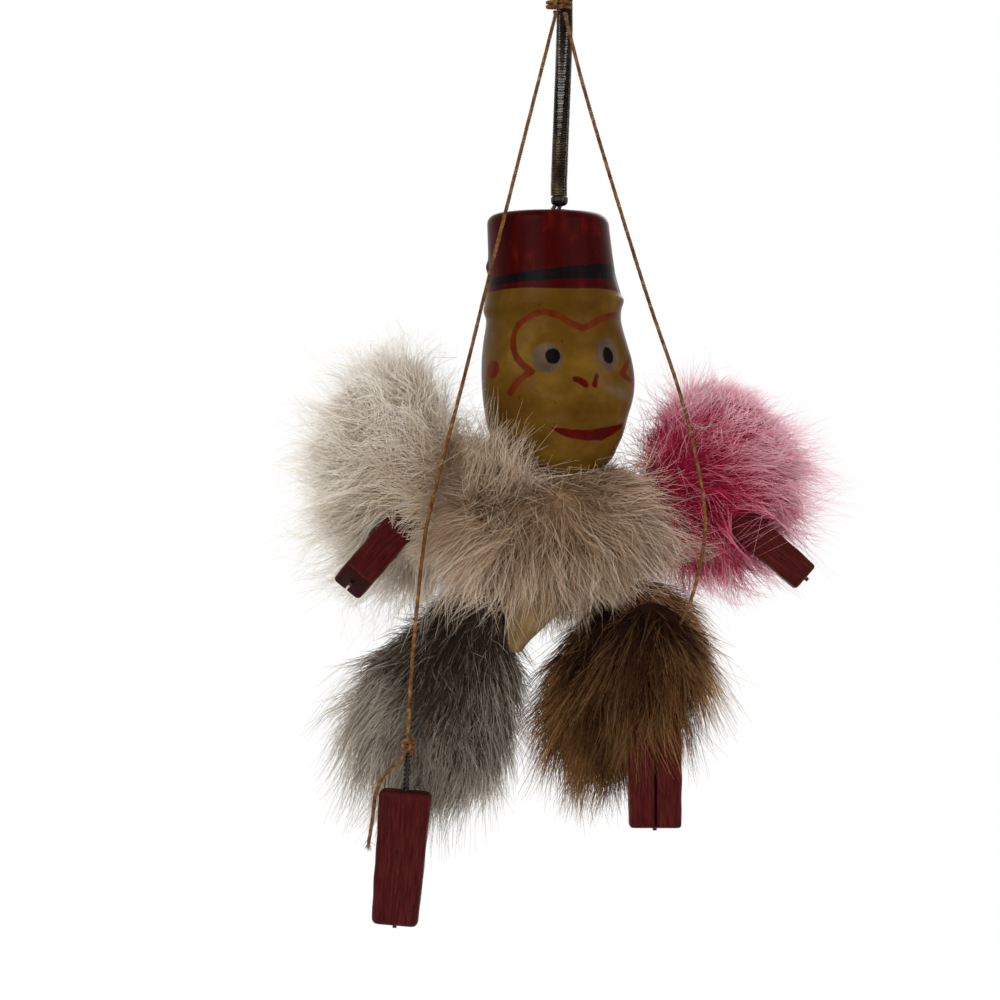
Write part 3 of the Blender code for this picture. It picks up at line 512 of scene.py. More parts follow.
def makeSpring():
    wayZ, wayX = zip(*spring["sway"])
    loose = spring["looseTurns"] / spring["turns"]
    spread = np.interp(np.linspace(0, 1, 200), [0, loose, 1], [0, loose * spring["looseness"], 1])
    heights = spring["top"] / mm + (spring["bottom"] - spring["top"]) / mm * spread
    path = [Vector((np.interp(z, wayZ, wayX), 0, z)) * mm for z in heights]
    values = {
        "Turns": float(spring["turns"]),
        "Points per Turn": spring["pointsPerTurn"],
        "Mean Radius": spring["meanRadius"],
        "Wire": spring["wire"],
        "Strain": spring["strain"],
    }
    mesh = bake(pointsObject("springPath", path), coilTree(springSteel), values, "tensionSpring")
    piece = addPiece("tensionSpring", mesh, None, None, "spring_steel", "bounce_spring")
    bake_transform(piece)


makeSpring()


# Dark wire wound round the plain wire above each foot, in millimetres.
legWires = {
    "left": [(-28.7, -10.0, -148.6), (-29.05, -10.2, -156.2), (-29.2, -10.2, -158.6)],
    "right": [(17.7, -10.0, -134.9), (17.7, -10.2, -138.0), (17.7, -10.2, -140.2)],
    "twist": {
        "Ply Radius": 0.21 * mm,
        "Offset": 0.42 * mm,
        "Turn Length": 1.7 * mm,
        "Plies": 2,
        "Sides": 7,
        "Fuzz": 0.03 * mm,
    },
}


def makeLegWires():
    wireTwist = twistTree(blackWire)
    for side in ("left", "right"):
        name = side + "WireTwist"
        path = pointsObject(name + "Path", smoothPath(legWires[side], 0.5))
        mesh = bake(path, wireTwist, legWires["twist"], name)
        addPiece(name, mesh, blackWire, side + "_leg", "black_wire")


makeLegWires()


knots = {
    "topKnot": {
        "centre": (0.15, 0.0, -7.6), "radius": 2.25, "turns": 2.6, "rise": 0.85, "body": "hanger",
        "node": "string_top_knot",
    },
    "leftFootKnot": {
        "centre": (-28.7, -10.0, -148.6), "radius": 1.0, "turns": 3.2, "rise": 0.8,
        "body": "left_leg", "node": "left_foot_knot",
    },
    "rightFootKnot": {
        "centre": (17.7, -10.0, -134.9), "radius": 1.0, "turns": 3.2, "rise": 0.8,
        "body": "right_leg", "node": "right_foot_knot",
    },
}


# Thread wound round the wire and tucked under itself in front.
def woundThread(name, knot):
    cx, cy, cz = knot["centre"]
    steps = int(knot["turns"] * 18)
    path = []
    for index in range(steps + 1):
        angle = math.tau * knot["turns"] * index / steps - math.pi / 2
        lift = knot["rise"] * (index / steps - 0.5) * knot["turns"]
        slack = knot["radius"] * (1 + 0.10 * math.sin(3 * angle + cz))
        path.append(Vector((cx + slack * math.cos(angle), cy + slack * math.sin(angle), cz - lift)) * mm)
    addPiece(name, twistedThread(name, path), thread, knot["body"], "thread", knot["node"])
    tuck = []
    for index in range(19):
        angle = math.tau * index / 18
        x = cx + 0.75 * math.cos(angle) - 0.2
        y = cy - knot["radius"] - 0.35 + 0.25 * math.sin(2 * angle)
        tuck.append(Vector((x, y, cz + 0.95 * math.sin(angle))) * mm)
    addPiece(name + "Tuck", twistedThread(name + "Tuck", tuck), thread, knot["body"], "thread")


for name, knot in knots.items():
    woundThread(name, knot)

dress(blackWire, "spine_wire", "spring_end", "shoulder_link", "hip_link", "left_arm_wire", "right_arm_wire")
dress(blackWire, "left_leg_wire", "right_leg_wire")
dress(springSteel, "top_hook")


print("Head")
head = {
    "axisX": -1.2,
    "top": -47.8,
    "turn": 24.0,
    "around": 216,
    "ringStep": 0.36,
    "wall": 0.7 * mm,
    "hatHeight": 15.1,
    "hatLean": -1.15,
    "hole": 1.9,
    "depth": 50.2,
    # height below the hat's top, radius
    "profile": [
        (1.6, 11.65), (8.0, 11.95), (11.5, 12.2), (13.8, 12.65), (15.0, 12.95), (16.4, 13.1), (17.4, 13.05),
        (19.0, 12.9), (20.4, 12.8), (22.0, 13.0), (24.5, 13.4), (27.5, 13.7), (31.0, 13.75), (34.0, 13.6),
        (37.0, 13.3), (40.0, 12.8), (43.0, 12.0), (46.0, 10.9), (48.0, 9.7), (49.4, 8.0), (50.2, 5.8),
    ],
    "muzzle": 4.3,
    "mouth": 5.0,
    "chin": 3.2,
    "cheeks": 1.9,
    "brow": 0.6,
    "sockets": 0.8,
    "nose": 1.1,
    "rim": 2.0,
    "lineWidth": 1.2,
}


def bell(value, centre, width, power=2.0):
    return np.exp(-(np.abs((value - centre) / width) ** power))


# The head's radius at an angle from the face's middle, in degrees, and a height below the hat's top.
def headReach(angle, below):
    world = np.radians(angle + head["turn"])
    levels, radii = np.array(head["profile"]).T
    reach = sum(np.interp(below + shift, levels, radii) for shift in (-0.5, -0.25, 0, 0.25, 0.5)) / 5
    rim = head["rim"]
    edge = np.clip((rim - below) / rim, 0, 1)
    reach = reach - rim * (1 - np.sqrt(1 - edge**2))
    underHat = np.clip((below - 15.0) / 1.4, 0, 1)
    underHat = underHat * underHat * (3 - 2 * underHat)
    reach = reach + 0.45 * bell(below, 17.6 - 1.0 * np.sin(world), 1.2) * underHat
    nub = bell((angle + head["turn"] + 88) / 5, 0, 1) * bell(below, 10.2, 1.1)
    face = (
        head["muzzle"] * bell(angle, 0, 36, 2.2) * bell(below, 36.2, 3.4)
        + head["mouth"] * bell(angle, 0, 42, 2.2) * bell(below, 42.2, 3.5)
        + head["chin"] * bell(angle, 0, 44) * bell(below, 47.0, 2.6)
        + head["cheeks"] * bell(np.abs(angle), 60, 27) * bell(below, 32.5, 8.0)
        + head["brow"] * bell(np.abs(angle), 24, 20) * bell(below, 21.8, 1.9)
        + head["nose"] * bell(angle, 2, 9) * bell(below, 31.6, 2.2)
        + 0.45 * bell(angle, 1, 8) * bell(below, 27.0, 3.5)
        - head["sockets"] * bell(np.abs(angle - 1), 25, 13) * bell(below, 27.2, 3.4)
    )
    lips = 0.35 * bell(angle, 2, 30) * (bell(below, 40.4, 0.8) + bell(below, 44.0, 0.9))
    return reach + face * underHat + lips + 0.45 * nub


def headPlace(angle, below):
    world = np.radians(angle + head["turn"])
    reach = headReach(angle, below)
    lean = head["hatLean"] * np.clip(1 - below / head["hatHeight"], 0, 1)
    drop = 0.6 * bell(angle, 0, 50) * np.clip((below - 40) / 10, 0, 1) ** 2
    x = head["axisX"] + reach * np.sin(world) + lean
    return x, -reach * np.cos(world), head["top"] - below - drop


# Where a pixel of the photograph falls on the head: (angle from the face's middle, height below the top).
gridAngle, gridBelow = np.meshgrid(np.arange(-114, 66.1, 0.5), np.arange(0, 50.3, 0.1))
gridX, gridY, gridZ = headPlace(gridAngle, gridBelow)
gridScale = view["distance"] / (view["distance"] + gridY * mm - view["aim"][1])
gridColumn = 500 + (gridX * mm - view["aim"][0]) * gridScale / pixel
gridRow = 500 - (gridZ * mm - view["aim"][2]) * gridScale / pixel


def onHead(column, row):
    nearest = np.argmin((gridColumn - column) ** 2 + (gridRow - row) ** 2)
    return gridAngle.flat[nearest], gridBelow.flat[nearest]


# The face's paint, measured on the photograph and unrolled to millimetres.
flatRadius = 13.9


def flat(places):
    return np.array([(math.radians(angle) * flatRadius, below) for angle, below in places])


def brushed(columnsRows):
    return flat([onHead(column, row) for column, row in columnsRows])


paint = {
    "leftOutline": [
        (583.5, 328), (572, 324), (560, 316), (548, 312.5), (538, 312.5), (526, 318), (516.5, 327),
        (513.2, 338), (513.5, 350), (519, 362), (531, 372),
    ],
    "leftTick": [(532, 371.5), (520, 379), (510, 393)],
    "rightOutline": [(583.5, 328), (592, 324), (600, 318.5), (609, 315.8), (617, 315.5)],
    "rightReturn": [(627.5, 362), (621.5, 374), (633, 384)],
    "lips": [
        (549, 425.5), (560, 428), (573, 429.5), (588, 430), (606, 427), (625, 421.5), (617, 432),
        (602, 440.5), (586, 441), (566, 437), (556, 431.5),
    ],
    "leftNostril": [(576, 379.3), (581, 381.5), (585.5, 384.5)],
    "rightNostril": [(594.3, 385.5), (596, 380), (597.3, 375)],
    # middle, and half width and height in millimetres
    "eyes": [((547.5, 358), (3.0, 2.85)), ((606, 354), (3.1, 3.1))],
    "pupils": [((552.5, 356), (1.45, 1.5)), ((607.3, 355.2), (1.45, 1.55))],
}


# Cuts a line's corners, so that the brush turns smoothly.
def rounded(line):
    for turn in range(2):
        nearStart = line[:-1] * 0.75 + line[1:] * 0.25
        nearEnd = line[:-1] * 0.25 + line[1:] * 0.75
        cut = np.stack([nearStart, nearEnd], axis=1).reshape(-1, 2)
        line = np.vstack([line[:1], cut[1:-1], line[-1:]])
    return line


def toLine(points, line):
    best = np.full(len(points), 1e9)
    for start, end in zip(line, line[1:]):
        run = end - start
        t = np.clip(((points - start) @ run) / max(run @ run, 1e-12), 0, 1)
        best = np.minimum(best, np.linalg.norm(points - start - t[:, None] * run, axis=1))
    return best


def toShape(points, corners):
    distance = toLine(points, np.vstack([corners, corners[:1]]))
    inside = np.zeros(len(points), bool)
    for (ax, ay), (bx, by) in zip(corners, np.roll(corners, -1, axis=0)):
        crosses = (ay > points[:, 1]) != (by > points[:, 1])
        inside ^= crosses & (points[:, 0] < (bx - ax) * (points[:, 1] - ay) / (by - ay + 1e-12) + ax)
    return np.where(inside, -distance, distance)


def toOval(points, centre, halfWidth, halfHeight):
    scaledPlace = (points - centre) / (halfWidth, halfHeight)
    return (np.linalg.norm(scaledPlace, axis=1) - 1) * min(halfWidth, halfHeight)


def toOvals(points, marks):
    return np.min([toOval(points, *brushed([place]), *radii) for place, radii in marks], axis=0)


# Signed distances in millimetres to each painted mark, negative inside.
def paintMarks(angle, below):
    points = np.stack([np.radians(angle) * flatRadius, below], axis=1)
    world = np.radians(angle + head["turn"])
    half = head["lineWidth"] / 2
    turnOver = flat([(45, 20.2), (52, 21.6), (57, 24.2), (59.5, 27.0)])
    rightReturn = brushed(paint["rightReturn"])
    lines = [
        brushed(paint["leftOutline"]),
        brushed(paint["leftTick"]),
        np.vstack([brushed(paint["rightOutline"]), turnOver, rightReturn[:2]]),
        np.vstack([rightReturn[1:], flat([(72, 34.8)])]),
    ]
    ears = [*brushed([(491.8, 369.6)]), *flat([(86, 31.0)])]
    bandTop = 11.3 - 1.5 * np.sin(world)
    bandLow = 13.5 - 0.75 * np.sin(world)
    return {
        "hat": below - head["hatHeight"] - 0.12 * np.sin(5 * world + 1),
        "band": np.maximum(bandTop - below, below - bandLow),
        "outline": np.min(
            [
                *[toLine(points, rounded(line)) - half for line in lines],
                toOval(points, ears[0], 2.3, 1.7),
                toOval(points, ears[1], 2.0, 1.7),
            ],
            axis=0,
        ),
        "lips": toShape(points, brushed(paint["lips"])),
        "eyes": toOvals(points, paint["eyes"]),
        "pupils": toOvals(points, paint["pupils"]),
        "marks": np.min(
            [
                toLine(points, brushed(paint["leftNostril"])) - 0.66,
                toLine(points, brushed(paint["rightNostril"])) - 0.45,
            ],
            axis=0,
        ),
    }


def celluloidMaterial():
    material, tree = newMaterial("painted celluloid", 0.28, Specular_IOR_Level=0.025)
    wobble = noise(tree, 700.0, 2.0)

    def mask(name, raggedness, softness):
        edge = stored(tree, name) + (wobble - 0.5) * raggedness
        return edge.span(-softness, softness, 1.0, 0.0)

    streaks = noise(tree, 420.0, 4.0, (1, 1, 0.35))
    black = ramp(tree, streaks, (0.3, 4, 2, 3), (0.7, 16, 10, 10))
    lineRed = ramp(tree, streaks, (0.3, 66, 18, 2), (0.7, 92, 34, 5))
    lipRed = ramp(tree, streaks, (0.3, 52, 3, 2), (0.7, 76, 8, 5))
    eyeWhite = ramp(tree, streaks, (0.3, 62, 48, 36), (0.7, 88, 73, 60))
    hatRed = ramp(tree, streaks, (0.3, 40, 1, 1), (0.55, 50, 2, 1), (0.8, 80, 14, 8))
    hat = mixColour(tree, mask("band", 0.3, 0.06), hatRed, black)
    coats = [  # mark, its paint, and how ragged and how soft its edge is
        ("outline", lineRed, 0.5, 0.12),
        ("eyes", eyeWhite, 0.4, 0.4),
        ("pupils", black, 0.5, 0.08),
        ("marks", lipRed, 0.7, 0.12),
        ("lips", lipRed, 0.35, 0.1),
        ("hat", hat, 0.25, 0.06),
    ]
    colour = ramp(tree, noise(tree, 110.0, 4.0), (0.3, 66, 42, 4), (0.5, 80, 54, 11), (0.72, 102, 74, 24))
    for name, coat, raggedness, softness in coats:
        colour = mixColour(tree, mask(name, raggedness, softness), colour, coat)
    grime = noise(tree, 1100.0, 2.0).span(0.70, 0.76, 0.0, 0.75)
    colour = mixColour(tree, grime, colour, (38, 24, 12))
    return coated(material, colour, noise(tree, 300.0, 2.0), 0.12 * mm, 0.5)


def makeHead():
    count = head["around"]
    angles = np.arange(count) * 360 / count - 180
    levels = [*np.linspace(0, 1.5, 9), *np.arange(1.9, head["depth"], head["ringStep"]), head["depth"]]
    verts, allAngles, allBelow = [], [], []
    topRadii = [head["hole"], 2.6, 4.0, 5.6, 7.2, 8.6, 9.4]
    worldAll = np.radians(angles + head["turn"])
    for radius in topRadii:
        dish = -0.12 * math.sin(math.pi * (radius - 1.9) / 8.5)
        lean = head["hatLean"] * min(1, max(0, (radius - 2.6) / 5))
        for world in worldAll:
            x = head["axisX"] + lean + radius * math.sin(world)
            verts.append((x, -radius * math.cos(world), head["top"] + dish))
        allAngles += list(angles)
        allBelow += [0.0] * count
    for below in levels:
        x, y, z = headPlace(angles, np.full(count, float(below)))
        verts += list(zip(x, y, z))
        allAngles += list(angles)
        allBelow += [float(below)] * count
    faces = []
    for ring in range(len(topRadii) + len(levels) - 1):
        for index in range(count):
            after = (index + 1) % count
            low = ring * count
            faces.append((low + index, low + count + index, low + count + after, low + after))
    mesh = meshFrom("celluloidHead", np.array(verts) * mm, faces)
    for name, values in paintMarks(np.array(allAngles), np.array(allBelow)).items():
        storeNumbers(mesh, name, values)
    shell = bmesh.new()
    shell.from_mesh(mesh)
    bmesh.ops.recalc_face_normals(shell, faces=shell.faces)
    if sum(face.normal.z for face in shell.faces if face.calc_center_median().z > -48 * mm) < 0:
        bmesh.ops.reverse_faces(shell, faces=shell.faces)
    shell.to_mesh(mesh)
    shell.free()
    mesh.shade_smooth()
    piece = addPiece("celluloidHead", mesh, celluloidMaterial(), "head", "celluloid", "head")
    wall = piece.modifiers.new("wall", "SOLIDIFY")
    wall.thickness = head["wall"]
    wall.offset = -1


makeHead()


print("Fur")


hairSizes = {
    "tipShare": 0.22,  # a tip's width as a share of the root's
    "limitDepth": 1.2 * mm,  # how far apart the hairs lie that a front limit stops
    "heightBlend": 5 * mm,  # where one front limit runs into another
    "leftBlend": 2 * mm,
    "backPress": 0.65,
    "partDepth": 0.7,  # hair less deep than this share of the part's radius moves aside
}


# Hair on a scalp. The scalp's own numbers say how each hair lies: comb, its direction, and reach, its length.
def furTree():
    tree, given = newTree(
        "fur",
        {
            "Density": 1000000.0,
            "Root Width": 0.12 * mm,
            "Points": 4,
            "Length": 1.0,
            "Shortest": 0.55,
            "Spread": 0.3,
            "Lock Spread": 0.25,
            "Lock Density": 60000.0,
            "Lock Pull": 0.6,
            "Droop": 0.2,
            "Curl": 0.15,
            "Curl Scale": 120.0,
            "Front Limit": -1.0,
            "Low Front Limit": -1.0,
            "Limit Change Height": -1.0,
            "Left Front Limit": -1.0,
            "Left Change": -1.0,
            "Back Limit": 16 * mm,
            "Part From": (0, 0, 1),
            "Part To": (0, 0, 2),
            "Part Radius": 0.0,
            "Seed": 1,
            "Material": None,
        },
    )

    def named(name, kind="FLOAT_VECTOR"):
        return out(tree, "GeometryNodeInputNamedAttribute", {"Name": name}, "Attribute", data_type=kind)

    def store(geometry, name, value, kind="FLOAT_VECTOR"):
        inputs = {"Geometry": geometry, "Name": name, "Value": value}
        return put(tree, "GeometryNodeStoreNamedAttribute", inputs, data_type=kind, domain="POINT")

    def scattered(density, seed):
        inputs = {"Mesh": given["Geometry"], "Density": density, "Seed": seed}
        return put(tree, "GeometryNodeDistributePointsOnFaces", inputs).outputs["Points"]

    def randomVector(seed, more):
        inputs = {0: (-1, -1, -1), 1: (1, 1, 1), 8: seed, **more}
        return out(tree, "FunctionNodeRandomValue", inputs, data_type="FLOAT_VECTOR")

    def randomNumber(least, seed):
        return out(tree, "FunctionNodeRandomValue", {2: least, 3: 1.0, 8: seed}, 1, data_type="FLOAT")

    seed, partFrom, partRadius = given["Seed"], given["Part From"], given["Part Radius"]
    roots = scattered(given["Density"], seed)
    locks = scattered(given["Lock Density"], seed + 17.0)
    place = out(tree, "GeometryNodeInputPosition")
    nearest = out(tree, "GeometryNodeSampleNearest", {"Geometry": locks, "Sample Position": place}, "Index")
    inputs = {"Geometry": locks, "Value": place, "Index": nearest}
    kinds = {"data_type": "FLOAT_VECTOR", "domain": "POINT"}
    lockPlace = out(tree, "GeometryNodeSampleIndex", inputs, "Value", **kinds)
    lean = randomVector(seed, {}) * given["Spread"]
    lean = lean + randomVector(seed + 5.0, {7: nearest}) * given["Lock Spread"]
    direction = (named("comb") + lean).unit()
    tone = randomNumber(0.0, seed + 9.0)
    reach = named("reach", "FLOAT") * given["Length"] * randomNumber(given["Shortest"], seed + 11.0)
    roots = store(roots, "root", place)
    roots = store(roots, "way", direction * reach)
    roots = store(roots, "lockPull", lockPlace - place)
    roots = store(roots, "tone", tone, "FLOAT")

    line = put(tree, "GeometryNodeCurvePrimitiveLine", {"Start": (0, 0, 0), "End": (0, 0, 1 * mm)})
    line = put(tree, "GeometryNodeResampleCurve", {"Curve": line, "Count": given["Points"]})
    hairs = put(tree, "GeometryNodeInstanceOnPoints", {"Points": roots, "Instance": line})
    hairs = put(tree, "GeometryNodeRealizeInstances", {0: hairs})
    hairs = store(hairs, "along", out(tree, "GeometryNodeSplineParameter", output="Factor"), "FLOAT")
    t = named("along", "FLOAT")
    squared = t * t
    way = named("way")
    long = way.length()
    at = named("root") + way * t
    at = at + out(tree, "ShaderNodeCombineXYZ", {"Z": -1.0}) * (squared * long * given["Droop"])
    at = at + named("lockPull") * (t * given["Lock Pull"])
    inputs = {"Vector": at, "Scale": given["Curl Scale"], "Detail": 1.5}
    bend = out(tree, "ShaderNodeTexNoise", inputs, "Color") - (0.5, 0.5, 0.5)
    at = at + bend * (t * long * given["Curl"] * 2.0)

    # hair parts round a stick, sideways where it lies in front of it
    run = given["Part To"] - partFrom
    share = (at - partFrom).dot(run).math("DIVIDE", run.dot(run), clamp=True)
    away = at - (partFrom + run * share)
    sideways = away * (1, 0, 1)
    need = (partRadius - sideways.length()).math("MAXIMUM", 0.0)
    isFront = out(tree, "ShaderNodeSeparateXYZ", {0: away}, "Y")
    isFront = isFront.math("LESS_THAN", partRadius * hairSizes["partDepth"])
    at = at + sideways.unit() * (need * isFront)

    # it stays behind the front limit, which changes at a height and on the left, and flattens at the back
    x, y, z = [Flow(tree, part) for part in put(tree, "ShaderNodeSeparateXYZ", {0: at}).outputs]
    height, left = given["Limit Change Height"], given["Left Change"]
    blend = hairSizes["heightBlend"]
    limit = z.span(height - blend, height + blend, given["Low Front Limit"], given["Front Limit"])
    blend = hairSizes["leftBlend"]
    limit = limit.math("MAXIMUM", x.span(left - blend, left + blend, given["Left Front Limit"], -1.0))
    y = y.math("MAXIMUM", limit + named("tone", "FLOAT") * hairSizes["limitDepth"])
    y = y - (y - given["Back Limit"]).math("MAXIMUM", 0.0) * hairSizes["backPress"]
    at = put(tree, "ShaderNodeCombineXYZ", {0: x, 1: y, 2: z})
    laid = put(tree, "GeometryNodeSetPosition", {"Geometry": hairs, "Position": at})
    taper = squared.span(0.0, 1.0, 1.0, hairSizes["tipShare"])
    thin = put(tree, "GeometryNodeSetCurveRadius", {"Curve": laid, "Radius": taper})
    hair = tube(tree, thin, given["Root Width"] * 0.5, 3, Scale=taper)
    return endTree(tree, hair, given["Material"], smooth=False)


oddHairs = 0.2  # the share of hairs that run to a pelt's fourth colour


# Hair colour runs from root to tip, darker at the root partly in the hair's own colour and partly as painted
# shade deep in the fur, and from painted shade at the pelt's core to painted light at its edge, and differs
# from hair to hair.
def furMaterial(name, pelt):
    material, tree = newMaterial(name, 0.7, Specular_IOR_Level=0.08)
    root, middle, tip, odd = pelt["colours"]
    centre, radii = pelt["shadeCore"]
    along, tone = stored(tree, "along"), stored(tree, "tone")
    # Painted shade and light: the pelt is darker near its shade core and lighter out to its edge, standing in
    # for shade inside the fur and light through its thin outer hairs.
    away = out(tree, "ShaderNodeTexCoord", output="Object") - tuple(value * mm for value in centre)
    edge = (away * tuple(1 / (value * mm) for value in radii)).length()
    patches = noise(tree, 90.0, 3.0) - 0.5
    shade = along * 0.35 + edge * 0.6 + patches * 0.6 + (tone - 0.5) * 0.3
    colour = ramp(tree, shade, (0.2, *root), (0.55, *middle), (0.95, *tip))
    # The odd hairs' lighter tips show most at the pelt's edge, as part of the same painted light.
    oddColour = mixColour(tree, along * edge, middle, odd)
    return coated(material, mixColour(tree, tone.math("GREATER_THAN", 1 - oddHairs), colour, oddColour))


def hideMaterial(name, dark, light):
    material, tree = newMaterial(name, 0.85, Specular_IOR_Level=0.05)
    colour = ramp(tree, noise(tree, 260.0, 4.0), (0.3, *dark), (0.7, *light))
    return coated(material, colour, noise(tree, 1500.0, 3.0), 0.15 * mm, 0.7)


# A soft egg, as in the CAD pelts: its radii, narrowing, lean and place in millimetres.
def eggMesh(name, centre, radii, taper=0.0, lean=0.0, segments=44, rings=30):
    sphere = [(0, 0, 1)]
    for ring in range(1, rings):
        polar = math.pi * ring / rings
        for segment in range(segments):
            angle = math.tau * segment / segments
            width = math.sin(polar)
            sphere.append((width * math.cos(angle), width * math.sin(angle), math.cos(polar)))
    sphere.append((0, 0, -1))
    low = len(sphere) - 1 - segments
    faces = []
    for here in range(segments):
        after = (here + 1) % segments
        faces.append((0, 1 + here, 1 + after))
        for first in range(1, low, segments):
            faces.append((first + here, first + segments + here, first + segments + after, first + after))
        faces.append((len(sphere) - 1, low + after, low + here))
    verts = []
    for x, y, z in sphere:
        width = 1.0 - taper * (z + 0.15)
        verts.append((x * width * radii[0], y * width * radii[1], z * radii[2]))
    mesh = meshFrom(name, verts, faces)
    mesh.transform(Matrix.Translation(centre) @ Matrix.Rotation(math.radians(lean), 4, "Y"))
    mesh.update()
    return mesh


# Flattens a scalp where it meets its neighbours: each plane is a point and a normal out of the scalp.
def press(mesh, centre, planes):
    for vert in mesh.vertices:
        ray = vert.co - centre
        share = 1.0
        for point, normal in planes:
            past = ray.dot(Vector(normal))
            if past > 0:
                share = min(share, (Vector(point) - centre).dot(Vector(normal)) / past)
        vert.co = centre + ray * share
    mesh.update()


def unit(vectors):
    return vectors / np.maximum(np.linalg.norm(vectors, axis=1, keepdims=True), 1e-9)


# How hair lies on a scalp: it fans out from a point near the limb's joint, mostly along the surface.
def comb(pelt, places, normals):
    fan = unit((places - np.array(pelt["fanFrom"])) * (1, pelt.get("fanDepth", 0.5), 1))
    along = fan - normals * np.sum(fan * normals, axis=1, keepdims=True)
    lie = along * 0.6 + fan * 0.4 + normals * pelt["stand"]
    lie = unit(lie + np.array(pelt.get("sweep", (0, 0, 0))))
    reach = np.full(len(places), pelt["reach"], float)
    for way, extra, narrow in pelt.get("tufts", []):
        reach += extra * np.clip(fan @ np.array(Vector(way).normalized()), 0, 1) ** narrow
    for corner, size, extra in pelt.get("patches", []):
        reach += extra * np.exp(-np.sum(((places - np.array(corner)) / np.array(size)) ** 2, axis=1))
    return lie, np.maximum(reach, 1.0)
